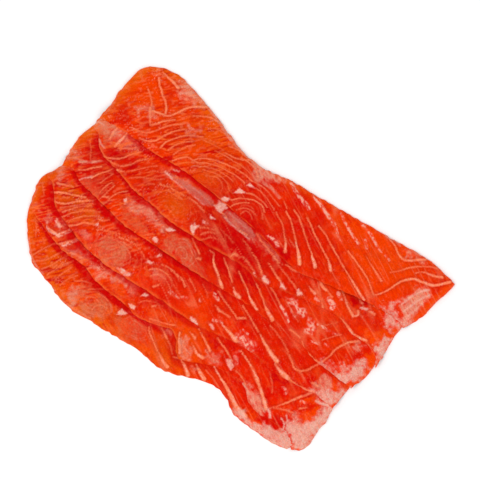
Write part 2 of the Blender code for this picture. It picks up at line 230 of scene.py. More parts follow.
marblingPatches["slice_1"] = [
    ("film", 0.85, (178, 82), (184, 79), (193, 88), (202, 98), (210, 110), (204, 107), (196, 105), (191, 104),
     (188, 98), (183, 94), (178, 88)),
    ("film", 0.95, (254, 160), (262, 167), (272, 172), (281, 176), (292, 181), (284, 181), (276, 180),
     (270, 181), (264, 180), (258, 178), (256, 172), (252, 166)),
    ("film", 0.6, (148, 107), (154, 109), (155, 116), (150, 117)),
    ("film", 0.55, (183, 124), (190, 124), (194, 129), (202, 131), (203, 134), (194, 134), (186, 131)),
    ("film", 0.95, (399, 300), (405, 296), (413, 293.5), (417, 288), (424, 286.5), (430, 289), (433, 294),
     (430, 299), (424, 302), (421, 307), (416, 311), (412, 316), (405, 322), (399, 318), (403, 311),
     (401, 305)),
    ("belly", 0.8, (383, 308), (390, 305), (398, 301), (396, 306), (390, 311)),
    ("film", 0.9, (409, 252), (416, 254), (424, 258), (413, 259), (404, 259)),
    ("belly", 0.9, (383, 309), (391, 311), (398, 317), (404, 321), (407, 325), (402, 328), (398, 322),
     (391, 316)),
    ("white", 0.95, (232.5, 193), (236, 190.5), (239, 187.5), (243, 190), (248, 193), (240, 194)),
    ("white", 0.85, (246, 185), (250, 182.5), (252, 185), (256, 189), (251, 188)),
    ("white", 0.95, (220, 198), (225, 196), (231, 199), (227, 202), (222, 201)),
    ("orange", 0.8, (183, 164), (195, 168), (208, 176), (219, 186), (222, 194), (212, 190), (200, 182),
     (188, 173)),
    ("orange", 0.5, (254, 218), (266, 216), (275, 224), (272, 232), (262, 230)),
    ("deep", 0.9, (262, 233), (272, 238), (283, 246), (290, 257), (283, 262), (276, 254), (268, 246)),
    ("deep", 0.55, (115, 118), (119, 105), (127, 104), (131, 112), (128, 121), (120, 125)),
    ("deep", 0.4, (164, 84), (170, 87), (173, 98), (167, 102), (164, 94)),
    ("deep", 0.4, (140, 118), (148, 118), (148, 127), (140, 126)),
    ("deep", 0.45, (300, 222), (312, 232), (322, 250), (318, 256), (308, 242)),
    ("deep", 0.35, (326, 236), (338, 248), (352, 270), (348, 274), (334, 256)),
    ("orange", 0.75, (318, 205), (350, 218), (390, 238), (420, 262), (400, 282), (384, 288), (372, 262),
     (350, 240), (330, 226)),
    ("orange", 0.7, (150, 70), (165, 72), (176, 96), (176, 104), (190, 118), (222, 122), (232, 142),
     (212, 150), (196, 134), (176, 126), (168, 104), (140, 90)),
    ("orange", 0.5, (118, 94), (134, 84), (140, 100), (122, 116), (108, 116)),
]

marblingLines["slice_2"] = [
    ("fat", 1.8, 2, 0.5, (98.5, 139), (99, 145), (101.5, 150), (104, 156)),
    ("fat", 2, 2, 0.85, (104, 156.5), (112, 158.5), (121, 158), (130, 155), (141, 152)),
    ("fat", 1.5, 1.5, 0.75, (107, 160), (114, 163.5), (122, 166), (129, 165), (137, 161.5), (148, 159)),
    ("fat", 2.4, 1.6, 0.85, (117, 170), (124, 171.5)),
    ("fat", 1.4, 1.2, 0.55, (126, 172), (136, 169.5), (146, 167.5), (158, 166)),
    ("fat", 1.3, 1.2, 0.55, (148, 172.5), (154, 171), (161, 172.5), (166, 171)),
    ("fat", 1.3, 1.2, 0.5, (130, 178), (140, 177), (152, 179), (164, 179.5)),
    ("fat", 1.4, 1.2, 0.5, (147, 184), (154, 184)),
    ("fat", 3, 2.5, 0.7, (119, 126), (113, 134), (110, 139)),
    ("fat", 4, 3.5, 0.75, (128, 132), (122, 139), (115, 146)),
    ("white", 1.6, 1.4, 0.6, (99, 139), (101, 144), (105, 148)),
    ("white", 1.3, 1.3, 0.5, (93, 124), (98, 122), (104, 125)),
    ("fat", 1.4, 1.4, 0.6, (118, 148), (128, 148.5), (140, 147)),
    ("fat", 1.6, 1.4, 0.7, (160, 184), (168, 187), (177, 191.5), (186, 197), (194, 202), (200, 207),
     (204, 212)),
    ("fat", 1.4, 1.3, 0.55, (166, 190), (176, 195), (182, 199)),
    ("fat", 1.6, 1.4, 0.65, (188, 197), (196, 203), (203, 210)),
    ("fat", 1.2, 1, 0.4, (166, 206), (172, 213), (176, 221)),
    ("white", 2, 2.6, 0.8, (165, 172), (169, 175), (172, 179)),
    ("white", 1.4, 1.4, 0.6, (173, 170), (179, 171)),
    ("white", 1.1, 1.2, 0.45, (170, 178), (178, 184), (190, 193), (204, 205)),
    ("white", 1.1, 1.2, 0.3, (186, 182), (196, 190), (208, 200)),
    ("white", 1.1, 1.4, 0.5, (224, 217), (233, 226), (242, 233), (250, 240)),
    ("white", 1.2, 1.2, 0.3, (229, 213), (238, 221), (249, 231)),
    ("fat", 1.6, 1.4, 0.85, (221, 212), (226, 217)),
    ("fat", 2, 2, 0.85, (240, 231), (247, 235)),
    ("fat", 1.5, 1.3, 0.65, (200, 228), (208, 228), (216, 230)),
    ("fat", 1.8, 1.4, 0.55, (201, 234), (209, 232), (217, 234)),
    ("fat", 1.6, 1.2, 0.5, (200, 240), (210, 237.5), (218, 239)),
    ("fat", 1.4, 1.3, 0.4, (222, 231), (229, 237), (233, 243)),
    ("fat", 1.3, 1.3, 0.6, (243, 240), (248, 246), (251, 250)),
    ("fat", 1.3, 2, 0.65, (243, 257), (249, 264), (254, 272)),
    ("fat", 1.3, 2.2, 0.75, (252, 253), (258, 262), (262, 274)),
    ("fat", 1.4, 2.6, 0.85, (268, 263), (274, 272), (280, 281)),
    ("fat", 1.4, 1.6, 0.6, (276, 262), (286, 275), (296, 288)),
    ("fat", 1.8, 2.2, 0.9, (256, 234), (263, 243), (271, 253), (279, 263)),
    ("fat", 1.6, 3, 0.75, (282, 264), (288, 266), (293, 270), (298, 271)),
    ("fat", 3, 3.4, 0.75, (309, 287), (315, 294)),
    ("frost", 3, 3, 0.6, (315, 298), (319, 301)),
    ("fat", 3.6, 3.2, 0.9, (319, 278), (322, 286), (326, 290)),
    ("fat", 2.4, 1.5, 0.5, (318, 283), (321, 295)),
    ("fat", 1.4, 2.4, 0.6, (326, 289), (332, 297)),
    ("frost", 6, 6, 0.95, (329, 299), (333, 305), (332, 308)),
    ("fat", 3.2, 3.6, 0.85, (322, 302), (323, 309), (322, 315)),
    ("frost", 4.5, 4.5, 0.8, (338, 293), (341, 299)),
    ("fat", 2.6, 3, 0.85, (342, 290), (345, 299), (349, 309), (353, 316)),
    ("fat", 3, 3, 0.8, (353, 316), (358, 315), (358, 311)),
    ("white", 2.4, 3.4, 0.8, (361, 308), (367, 309)),
    ("fat", 3, 4, 0.8, (369, 311), (374, 314)),
    ("fat", 2.4, 2.4, 0.6, (374, 306), (378, 308)),
    ("fat", 3, 3, 0.8, (352, 293), (358, 293), (362, 297)),
    ("fat", 3, 3, 0.6, (359, 300), (362, 303)),
    ("fat", 1.8, 3.6, 0.95, (340, 318), (346, 325), (352, 333)),
    ("fat", 5, 3.6, 0.95, (349, 333), (357, 337), (366, 341)),
    ("fat", 1.8, 3, 0.85, (365, 342), (370, 348), (375, 351)),
]
marblingPatches["slice_2"] = [
    ("film", 0.3, (96, 121), (103, 117), (110, 122), (117, 127), (113, 133), (107, 136), (100, 131)),
    ("tan", 0.9, (97, 122), (103, 117), (110, 121), (118, 125), (112, 134), (108, 145), (100, 140),
     (100, 130)),
    ("film", 0.5, (88, 127), (95, 120), (98, 123), (95, 131), (89, 131)),
    ("film", 0.6, (119, 127), (128, 130), (121, 138), (116, 141), (111, 139)),
    ("film", 0.45, (128, 133), (140, 142), (143, 148), (130, 149), (117, 147)),
    ("deep", 0.95, (104, 148), (112, 147), (125, 149), (124, 155), (112, 157), (104, 155)),
    ("film", 0.5, (163, 170), (172, 174), (183, 180), (192, 186), (188, 190), (180, 186), (172, 181),
     (166, 177)),
    ("veil", 0.85, (180, 179), (188, 182), (196, 187), (203, 190), (209, 195), (214, 201), (215, 207),
     (209, 207), (202, 204), (196, 199), (189, 192), (182, 186)),
    ("veil", 0.55, (166, 171), (174, 174), (182, 178), (187, 184), (184, 188), (177, 183), (170, 177)),
    ("white", 0.8, (213.5, 205), (217, 203.5), (218.5, 199.5), (222, 202), (227, 202.5), (226, 206),
     (228.5, 208.5), (224, 210), (221, 213.5), (217.5, 212), (215, 209)),
    ("white", 0.8, (221, 197), (223.5, 196.5), (225, 199), (229, 197.5), (231, 199.5), (227, 201),
     (224, 202)),
    ("veil", 0.8, (220, 215), (227, 209.5), (234, 212), (243, 220), (251, 228), (256, 236), (254, 241),
     (247, 238), (239, 232), (229, 225)),
    ("film", 0.25, (250, 236), (256, 238), (262, 244), (258, 244), (252, 241)),
    ("deep", 0.9, (228, 208), (240, 214), (252, 225), (262, 234), (258, 238), (246, 228), (236, 218)),
    ("deep", 0.9, (168, 163), (185, 168), (205, 184), (222, 199), (212, 199), (198, 187), (182, 176),
     (170, 169)),
    ("orange", 0.9, (152, 196), (160, 191), (172, 192), (184, 200), (190, 210), (186, 218), (176, 219),
     (164, 210)),
    ("white", 0.95, (208, 213), (212, 216), (217, 220), (210, 219)),
    ("white", 0.95, (202, 220), (204.5, 221), (208, 224), (202, 224)),
    ("white", 1, (189.5, 226), (191, 224), (193.5, 225), (195, 222), (196.5, 225.5), (201, 225.5),
     (198, 228.5), (194.5, 231), (193.5, 236.5), (190.5, 232)),
    ("deep", 0.85, (214, 219), (224, 224), (234, 232), (244, 240), (250, 251), (241, 250), (232, 240),
     (222, 231)),
    ("fat", 0.8, (229, 255), (234, 252), (236, 256), (233, 260)),
    ("white", 0.7, (252, 272), (254.5, 271), (257, 278), (254, 276)),
    ("white", 0.9, (262, 275), (265, 275), (270, 283), (268, 285), (262, 281)),
    ("white", 0.9, (280, 281), (283, 283), (288, 291), (280, 288)),
    ("white", 0.95, (296, 289), (299, 288.5), (304, 295), (297, 296)),
    ("film", 0.7, (256, 234), (262, 236), (268, 243), (276, 253), (280, 262), (272, 256), (262, 248),
     (257, 241)),
    ("deep", 0.85, (246, 268), (256, 272), (262, 286), (254, 284), (247, 276)),
    ("deep", 0.9, (348, 294), (356, 296), (366, 301), (372, 306), (360, 305), (350, 301)),
    ("deep", 0.85, (360, 312), (367, 312), (367, 316), (363, 318)),
    ("deep", 0.5, (356, 318), (372, 318), (382, 326), (372, 330), (358, 326)),
    ("orange", 0.95, (366, 331), (380, 330), (393, 331), (391, 337), (384, 341), (378, 345), (370, 345),
     (366, 340)),
    ("belly", 0.9, (384, 313), (391, 316), (396, 321), (399, 328), (401, 333), (397, 331), (393, 328),
     (388, 327), (384, 323)),
    ("belly", 0.95, (374, 346), (381, 344), (386, 338), (391, 338), (389, 343), (384, 349), (383, 352),
     (380, 357), (379, 364), (375, 356), (374, 351)),
]

marblingLines["slice_3"] = [
    ("fat", 1.5, 1.3, 0.6, (68, 158), (75, 158), (83, 160)),
    ("film", 3.4, 3, 0.85, (80, 162), (90, 162), (101, 161)),
    ("fat", 1.3, 1.3, 0.4, (90.5, 143), (91, 151), (90.5, 160)),
    ("white", 1.5, 1.8, 0.55, (79, 180), (85, 178), (92, 176.5)),
    ("fat", 1.6, 1.8, 0.75, (79, 170), (87, 169.5), (95, 167.5), (102, 166.5)),
    ("fat", 2, 1.6, 0.8, (92, 177.5), (98, 174.5), (105, 172), (113, 169)),
    ("fat", 1.3, 1.3, 0.6, (100, 183), (106, 178), (113, 174.5)),
    ("fat", 1.4, 1.4, 0.75, (100, 193), (105, 187), (112, 182)),
    ("fat", 1.4, 1.2, 0.7, (104, 196), (109, 190.5), (115, 186)),
    ("fat", 1.6, 1.2, 0.7, (108, 200), (114, 195), (121, 192), (128, 191)),
    ("fat", 2.2, 2, 0.85, (103, 197), (108, 197)),
    ("fat", 1.5, 2, 0.75, (192, 238), (196, 246), (199, 254)),
    ("fat", 3, 3, 0.75, (196, 258), (200, 259)),
    ("fat", 1.5, 1.3, 0.6, (159, 216), (164, 222), (168, 227)),
    ("fat", 2.4, 3, 0.9, (210, 250), (214, 254), (213.5, 262), (216, 269), (218, 275)),
    ("fat", 3, 4, 0.92, (218.5, 277), (220, 282), (222, 287)),
    ("fat", 1.8, 1.8, 0.8, (224, 258), (227, 265), (229, 272), (232, 282)),
    ("fat", 3, 5.4, 0.97, (233, 287), (235, 292), (239, 297)),
    ("fat", 1.6, 1.8, 0.75, (239, 271), (243, 281), (247, 290)),
    ("fat", 3, 4, 0.97, (247, 290), (251, 300), (257, 309)),
    ("fat", 1.4, 1.8, 0.75, (256, 284), (260, 292), (263, 301)),
    ("fat", 3, 5.4, 0.97, (263, 302), (266, 309), (272, 319)),
    ("fat", 1.6, 1.8, 0.8, (271, 287), (276, 296), (280, 304)),
    ("frost", 3.4, 3.6, 0.85, (281, 306), (286, 315), (288, 322)),
    ("fat", 1.3, 1.3, 0.45, (286, 300), (292, 311), (298, 322)),
    ("frost", 2.6, 2.6, 0.85, (318, 324), (324, 328), (329, 331)),
    ("frost", 2.6, 2.6, 0.8, (333, 333), (340, 335)),
    ("frost", 4, 4, 0.7, (313, 341), (318, 343)),
    ("frost", 3, 3, 0.6, (325, 344), (328, 346)),
    ("fat", 1.6, 2.2, 0.85, (302, 342), (305, 350), (311, 356)),
    ("fat", 1.8, 1.8, 0.8, (311, 356), (315, 360), (320, 363)),
    ("fat", 1.4, 1.2, 0.45, (318, 328), (330, 324), (337, 322)),
    ("fat", 1.3, 1.2, 0.5, (322, 340), (332, 337), (341, 335)),
    ("fat", 2, 2.4, 0.9, (322, 362), (328, 357), (336, 349), (343, 345), (351, 342), (359, 341)),
    ("fat", 1.8, 1.8, 0.7, (290, 330), (296, 334), (300, 338)),
    ("fat", 1.3, 1.2, 0.4, (276, 322), (284, 331), (292, 342), (300, 349)),
]
marblingPatches["slice_3"] = [
    ("film", 0.6, (70, 152), (78, 151), (81, 157), (77, 161), (70, 160)),
    ("tan", 0.6, (79, 180), (86, 177), (93, 175.5), (99, 178), (98, 184), (104, 190), (102, 199), (98, 199),
     (91, 191), (85, 186)),
    ("white", 0.85, (123, 199), (127, 197.5), (128, 203), (125, 205)),
    ("film", 0.66, (128, 202), (138, 202.5), (148, 207), (157, 214), (164, 222), (171, 229), (165, 231),
     (158, 226), (149, 218), (139, 214), (131, 209)),
    ("tan", 0.45, (118, 214), (126, 207), (131, 211), (140, 217), (146, 225), (150, 236), (140, 234),
     (131, 228), (122, 222)),
    ("deep", 0.85, (146, 222), (152, 225), (155, 233), (149, 229)),
    ("white", 0.9, (165, 229), (170, 227), (177, 231), (170, 232.5), (166, 232)),
    ("white", 0.9, (152, 238), (156, 235.5), (159, 240), (157, 244), (153, 241)),
    ("tan", 0.85, (160, 245), (168, 238), (178, 236.5), (186, 239), (191, 246), (194, 253), (198, 259),
     (202, 270), (202, 276), (195, 272), (184, 264), (172, 255), (163, 248)),
    ("deep", 0.6, (178, 252), (182, 252), (182, 256), (178, 256)),
    ("deep", 0.9, (176, 229), (186, 230), (196, 240), (206, 247), (202, 250), (190, 238)),
    ("deep", 0.85, (232, 262), (246, 270), (258, 284), (250, 288), (236, 276)),
    ("deep", 0.6, (262, 284), (272, 288), (282, 298), (276, 300), (266, 294)),
    ("orange", 0.5, (206, 262), (214, 270), (216, 284), (206, 276)),
    ("frost", 0.95, (288, 297), (294, 300), (301, 308), (307, 311), (304, 318), (298, 317), (294, 311),
     (289, 303)),
    ("frost", 0.95, (308, 320), (313, 324), (312, 332), (305, 330)),
    ("film", 0.8, (352, 345), (358, 343), (361, 347), (357, 350)),
    ("belly", 0.97, (336, 372), (344, 371), (352, 368), (358, 364), (366, 363), (369, 368), (363, 376),
     (352, 384), (349, 386), (340, 383), (336, 378)),
    ("belly", 0.75, (320, 362), (328, 366), (336, 372), (336, 379), (332, 374), (325, 368)),
    ("frost", 0.9, (339, 360), (344, 361), (344, 369), (340, 368)),
    ("orange", 0.95, (370, 352), (377, 353), (378, 362), (374, 370), (369, 366), (368, 358)),
    ("deep", 0.5, (96, 150), (103, 152), (104, 160), (92, 160)),
    ("deep", 0.7, (82, 145), (98, 140), (103, 150), (104, 160), (93, 159)),
]

marblingLines["slice_4"] = [
    ("fat", 2.4, 1.6, 0.75, (57, 183), (65, 184.5), (74, 187.5)),
    ("fat", 2.4, 1.8, 0.88, (54, 192.5), (63, 193), (73, 195), (86, 197)),
    ("fat", 2.2, 1.6, 0.88, (54, 201), (60, 203.5), (68, 203), (78, 201), (94, 200.5)),
    ("fat", 1.6, 1.3, 0.6, (62, 212), (70, 209.5), (78, 206.5), (92, 206)),
    ("fat", 1.5, 1.3, 0.6, (62, 217), (75, 212), (88, 210.5), (100, 212)),
    ("fat", 1.4, 1.3, 0.55, (66, 221.5), (80, 217), (95, 216), (103, 218)),
    ("fat", 1.3, 1.2, 0.5, (60, 208), (72, 205.5), (84, 204), (96, 204)),
    ("fat", 2, 2, 0.8, (69, 226), (76, 225), (84, 223), (95, 224)),
    ("fat", 1.5, 1.2, 0.7, (98, 219), (104, 221), (110, 219.5)),
    ("fat", 1.4, 1.3, 0.55, (97, 229), (108, 231), (120, 234)),
    ("fat", 1.5, 1.3, 0.8, (119, 237), (127, 240), (134, 244), (139, 248)),
    ("fat", 1.4, 1.2, 0.7, (121, 241), (128, 245), (131, 248)),
    ("fat", 1.3, 1.2, 0.5, (105, 236), (116, 240), (124, 246), (129, 252), (131, 258)),
    ("fat", 1.2, 1.2, 0.5, (137, 246), (142, 252), (144, 258)),
    ("fat", 1.5, 1.3, 0.75, (149, 270), (156, 269), (162, 270.5), (168, 275), (172, 281)),
    ("fat", 1.4, 1.3, 0.6, (162, 264), (170, 268.5), (176, 275), (179, 281)),
    ("fat", 1.8, 2, 0.92, (170, 269), (176, 274), (178, 276)),
    ("fat", 2, 2.4, 0.92, (180, 277), (183, 281), (185, 286)),
    ("fat", 1.3, 1.2, 0.5, (150, 276), (157, 274), (163, 277), (168, 283), (170, 289)),
    ("fat", 2.4, 2, 0.65, (153, 287), (159, 285)),
    ("fat", 1.6, 1.8, 0.6, (189, 279), (193, 285), (196, 291)),
    ("fat", 1.2, 1.2, 0.45, (203, 284), (206, 291), (208, 297)),
    ("fat", 1.6, 1.6, 0.8, (218, 291), (223, 299), (229, 307), (234, 314), (237, 319)),
    ("frost", 3.6, 3.6, 0.85, (214, 294), (218, 300)),
    ("fat", 2.6, 2.8, 0.85, (215, 305), (220, 312)),
    ("fat", 2, 1.6, 0.7, (221, 312), (230, 317)),
    ("fat", 2.2, 2.2, 0.85, (239, 318), (245, 318)),
    ("fat", 1.8, 2, 0.8, (243, 306), (248, 314), (254, 324), (259, 332)),
    ("fat", 3, 5.6, 0.97, (260, 334), (266, 345), (272, 355), (277, 361)),
    ("fat", 5.4, 6, 0.92, (275, 364), (281, 372), (288, 378)),
    ("fat", 1.4, 1.6, 0.7, (270, 325), (277, 333), (284, 344), (288, 352)),
    ("fat", 2, 2, 0.8, (289, 355), (292, 362), (294, 368), (299, 371), (307, 370), (315, 366), (322, 362)),
    ("fat", 1.3, 1.2, 0.4, (284, 330), (292, 340), (300, 347)),
    ("fat", 3, 5, 0.95, (221, 323), (228, 331), (236, 341)),
    ("frost", 3, 3, 0.7, (213, 320), (222, 322)),
    ("frost", 2.2, 2.4, 0.7, (243, 330), (248, 334)),
    ("fat", 1.8, 3, 0.85, (283, 374), (291, 380), (300, 387), (309, 391), (314, 392)),
    ("fat", 2, 2, 0.75, (312, 383), (318, 386)),
    ("frost", 4, 3, 0.6, (170, 292), (177, 297), (188, 297)),
]
marblingPatches["slice_4"] = [
    ("film", 0.55, (55, 171), (62, 168), (66, 174), (64, 180), (57, 179)),
    ("white", 0.8, (94.5, 223), (98, 222), (99.5, 225), (96, 226.5)),
    ("film", 0.4, (77, 231), (84, 231), (92, 237), (90, 242), (84, 239)),
    ("tan", 0.8, (93, 247), (98, 241), (107, 239), (117, 241), (125, 246), (129, 253), (127, 261), (120, 266),
     (112, 266), (103, 261), (96, 254)),
    ("white", 0.85, (155, 256), (160, 253.5), (163, 256), (158, 257.5)),
    ("white", 0.92, (144, 263), (148, 259), (155, 262.5), (150, 264)),
    ("white", 0.85, (116, 267), (123, 268), (129, 272), (132, 275), (127, 277), (121, 274)),
    ("fat", 0.6, (132, 266), (135, 263), (137, 266)),
    ("film", 0.35, (150, 271), (159, 270), (165, 276), (166, 282), (158, 281), (151, 277)),
    ("white", 0.8, (197.5, 298.5), (200, 298), (201, 302), (198.5, 301.5)),
    ("white", 0.95, (190, 315), (195, 318), (199, 326), (194, 326), (190, 320)),
    ("white", 0.85, (209, 323), (213, 324), (215, 331), (211, 330)),
    ("frost", 0.98, (236, 338), (243, 335), (252, 342), (256, 347), (252, 351), (246, 348), (238, 345)),
    ("film", 0.8, (314, 384), (321, 381), (326, 377), (330, 378), (330, 384), (325, 392), (318, 391)),
    ("belly", 0.9, (312, 393), (320, 391), (330, 392), (340, 391), (345, 392), (341, 398), (336, 404),
     (333, 408), (326, 400), (318, 396)),
    ("film", 0.7, (336, 386), (341, 385), (343, 389), (338, 389)),
    ("orange", 0.9, (328, 383), (335, 378), (337, 386), (335, 392), (329, 389)),
    ("amber", 0.6, (58, 186), (78, 187), (90, 204), (98, 216), (84, 223), (70, 216), (60, 203)),
    ("orange", 0.6, (64, 206), (84, 204), (98, 212), (110, 226), (98, 232), (80, 228), (68, 220)),
    ("orange", 0.3, (160, 286), (176, 284), (196, 292), (210, 306), (200, 316), (180, 308), (166, 298)),
    ("deep", 0.8, (204, 284), (212, 287), (224, 295), (228, 301), (220, 300), (210, 294)),
    ("orange", 0.5, (82, 240), (90, 242), (94, 248), (90, 250)),
    ("deep", 0.5, (126, 252), (138, 254), (146, 262), (138, 270), (128, 266)),
]

marblingLines["slice_5"] = [
    ("white", 1.6, 1.8, 0.7, (47, 227), (50, 232), (56, 233.5)),
    ("frost", 5, 4, 0.9, (57, 236), (64, 233), (70, 230)),
    ("frost", 4, 4, 0.8, (56, 220), (60, 226)),
    ("frost", 4, 3, 0.7, (63, 245), (70, 243), (77, 240)),
    ("fat", 1.4, 1.2, 0.35, (42, 183), (44, 195)),
    ("fat", 2, 3, 0.9, (47, 226), (52, 231), (57, 234)),
    ("fat", 3, 2.6, 0.85, (57, 235), (63, 232), (69, 230)),
    ("fat", 2.4, 2, 0.6, (59, 225), (66, 228)),
    ("fat", 2.8, 2.2, 0.85, (60, 244), (68, 242), (77, 238)),
    ("fat", 1.6, 1.6, 0.6, (64, 252), (74, 254), (84, 259)),
    ("fat", 2, 2, 0.85, (101, 264), (104, 269)),
    ("fat", 1.3, 1.2, 0.5, (138, 303), (146, 301), (155, 302), (163, 306)),
    ("fat", 2.4, 2, 0.65, (152, 306), (156, 306)),
    ("fat", 1.5, 1.5, 0.7, (150, 319), (160, 322), (168, 324), (175, 325)),
    ("fat", 2.6, 2.8, 0.88, (180, 332), (179, 341), (180, 353)),
    ("fat", 2.4, 3, 0.75, (190, 332), (195, 338)),
    ("fat", 1.8, 2.6, 0.85, (198, 329), (203, 337), (207, 345), (210, 351)),
    ("fat", 2.4, 4, 0.75, (192, 343), (196, 352), (203, 358)),
    ("fat", 1.6, 2, 0.75, (218, 338), (223, 346), (228, 354), (232, 361)),
    ("fat", 1.6, 1.4, 0.5, (235, 338), (240, 346)),
    ("fat", 2.6, 4.6, 0.95, (241, 351), (248, 361), (254, 372), (258, 382), (262, 393), (266, 408)),
    ("fat", 1.6, 1.6, 0.6, (236, 371), (242, 377), (246, 385)),
    ("white", 3, 3, 0.75, (268, 409), (270, 413), (270, 417)),
    ("fat", 2.2, 2.6, 0.9, (270, 408), (279, 406), (288, 402), (297, 398), (305, 395), (312, 393)),
    ("frost", 3, 3, 0.7, (283, 388), (287, 391), (285, 394)),
    ("fat", 1.4, 1.3, 0.4, (270, 372), (272, 384), (272, 393)),
    ("white", 2.6, 3, 0.7, (316, 401), (322, 404), (328, 405)),
    ("fat", 1.8, 1.8, 0.65, (274, 408), (285, 410), (293, 413)),
    ("white", 1.6, 1.8, 0.85, (281, 418), (284, 424), (283, 429)),
    ("white", 1.4, 1.4, 0.7, (286, 415), (287, 422)),
    ("frost", 2.4, 2.4, 0.7, (301, 401), (305, 403)),
    ("fat", 2, 1.8, 0.7, (300, 409), (306, 407)),
]
marblingPatches["slice_5"] = [
    ("film", 0.4, (34, 203), (39, 204), (39, 211), (35, 210)),
    ("film", 0.5, (45, 214), (50, 217), (48, 222), (44, 219)),
    ("film", 0.7, (56, 219), (61, 221), (60, 226), (56, 224)),
    ("deep", 0.9, (48, 194), (53, 204), (58, 214), (62, 222), (56, 220), (50, 213), (47, 204)),
    ("film", 0.5, (62, 246), (70, 248), (78, 249), (85, 251), (90, 258), (86, 262), (78, 258), (70, 253),
     (64, 250)),
    ("tan", 0.5, (50, 230), (60, 226), (72, 232), (80, 244), (72, 246), (60, 240)),
    ("deep", 0.7, (66, 243), (73, 244), (72, 248), (66, 247)),
    ("film", 0.65, (90, 262), (96, 262), (99, 267), (93, 269)),
    ("film", 0.65, (96, 275), (101, 271), (108, 272), (104, 277), (100, 282)),
    ("film", 0.65, (108, 271), (118, 274), (128, 279), (130, 284), (122, 283), (112, 279)),
    ("orange", 0.7, (102, 278), (112, 280), (124, 286), (124, 296), (114, 292)),
    ("film", 0.4, (127, 284), (136, 285), (138, 292), (131, 293)),
    ("white", 0.9, (140, 296), (144, 292.5), (150, 295), (146, 297.5)),
    ("white", 0.9, (127, 303), (132, 303), (136, 306), (135, 310), (130, 308)),
    ("orange", 0.6, (140, 306), (152, 304), (168, 310), (176, 320), (164, 322), (148, 318)),
    ("film", 0.72, (182, 340), (187, 340), (190, 348), (187, 357), (181, 354)),
    ("film", 0.6, (207, 351), (216, 354), (220, 360), (214, 366), (208, 361)),
    ("white", 0.7, (224, 358), (231, 359), (234, 366), (231, 372), (228, 366)),
    ("frost", 0.5, (235, 353), (239, 353), (239, 362), (235, 360)),
    ("film", 0.92, (243, 385), (249, 384), (254, 390), (260, 396), (264, 405), (265, 413), (258, 412),
     (250, 408), (247, 400), (245, 393)),
    ("deep", 0.95, (272, 371), (281, 376), (291, 383), (288, 387), (279, 385), (272, 379)),
    ("deep", 0.7, (200, 330), (210, 334), (222, 342), (234, 346), (230, 350), (214, 346)),
    ("orange", 0.9, (300, 398), (309, 395), (317, 397), (322, 403), (312, 401), (302, 402)),
    ("deep", 0.6, (262, 416), (270, 418), (278, 417), (286, 414), (286, 424), (278, 428), (268, 422)),
    ("film", 0.6, (290, 412), (298, 413), (299, 420), (293, 421)),
    ("belly", 0.97, (286, 426), (292, 420), (300, 425), (308, 421), (318, 414), (325, 408), (334, 407),
     (331, 417), (325, 424), (317, 431), (313, 440), (308, 448), (297, 451), (292, 440), (288, 432)),
    ("belly", 0.8, (318, 398), (326, 400), (334, 406), (326, 410), (320, 404)),
    ("orange", 0.95, (302, 421), (305, 413), (312, 408), (320, 407), (318, 413), (310, 419), (303, 425),
     (299, 426)),
]

marblingLines["slice_6"] = [
    ("fat", 1.5, 1.3, 0.4, (36, 220), (36, 237)),
    ("fat", 1.8, 1.6, 0.6, (32, 256), (38, 251.5), (46, 247.5), (57, 243)),
    ("fat", 1.8, 1.6, 0.6, (35, 261), (46, 259.5), (56, 255), (65, 250)),
    ("fat", 1.8, 1.6, 0.6, (42, 269), (50, 266), (60, 260), (69, 255)),
    ("fat", 1.8, 1.6, 0.6, (47, 275), (54, 270), (62, 265), (73, 261)),
    ("fat", 1.6, 1.5, 0.55, (55, 280), (62, 273), (72, 267)),
    ("fat", 1.5, 1.4, 0.5, (60, 285), (68, 279), (78, 276)),
    ("fat", 1.4, 1.3, 0.5, (74, 281), (83, 281), (92, 284)),
    ("fat", 1.4, 1.3, 0.55, (88, 289), (98, 289), (106, 290)),
    ("fat", 1.4, 1.3, 0.65, (98, 294), (104, 297), (108, 301)),
    ("fat", 1.2, 1.2, 0.5, (92, 310), (96, 306), (102, 305), (107, 309)),
    ("deep", 1.4, 1.4, 0.4, (79, 306), (86, 302), (94, 299), (102, 299), (108, 303), (109, 310)),
    ("fat", 1.6, 1.6, 0.5, (62, 300), (70, 306), (80, 312), (90, 318)),
    ("fat", 2, 2.2, 0.8, (149, 327), (150, 334), (154, 342), (158, 351)),
    ("fat", 3, 4.6, 0.8, (158, 351), (163, 361), (167, 367)),
    ("fat", 2, 2, 0.85, (162, 328), (165, 334), (167, 339)),
    ("fat", 2, 1.6, 0.65, (168, 341), (171, 348), (172, 354)),
    ("fat", 2, 2, 0.7, (173, 357), (178, 358)),
    ("fat", 2.6, 5, 0.88, (179, 357), (184, 365), (188, 375)),
    ("fat", 3.4, 5.4, 0.88, (196, 364), (199, 370), (204, 379)),
    ("fat", 3.6, 6.2, 0.97, (214, 367), (219, 375), (224, 383), (229, 392), (233, 400), (238, 408),
     (245, 416)),
    ("fat", 1.5, 1.5, 0.45, (206, 370), (212, 377), (219, 387)),
    ("film", 2.4, 2.4, 0.6, (29, 238), (30, 250), (34, 262), (43, 274)),
    ("film", 2.4, 3, 0.5, (54, 288), (60, 299), (72, 308), (90, 320)),
]
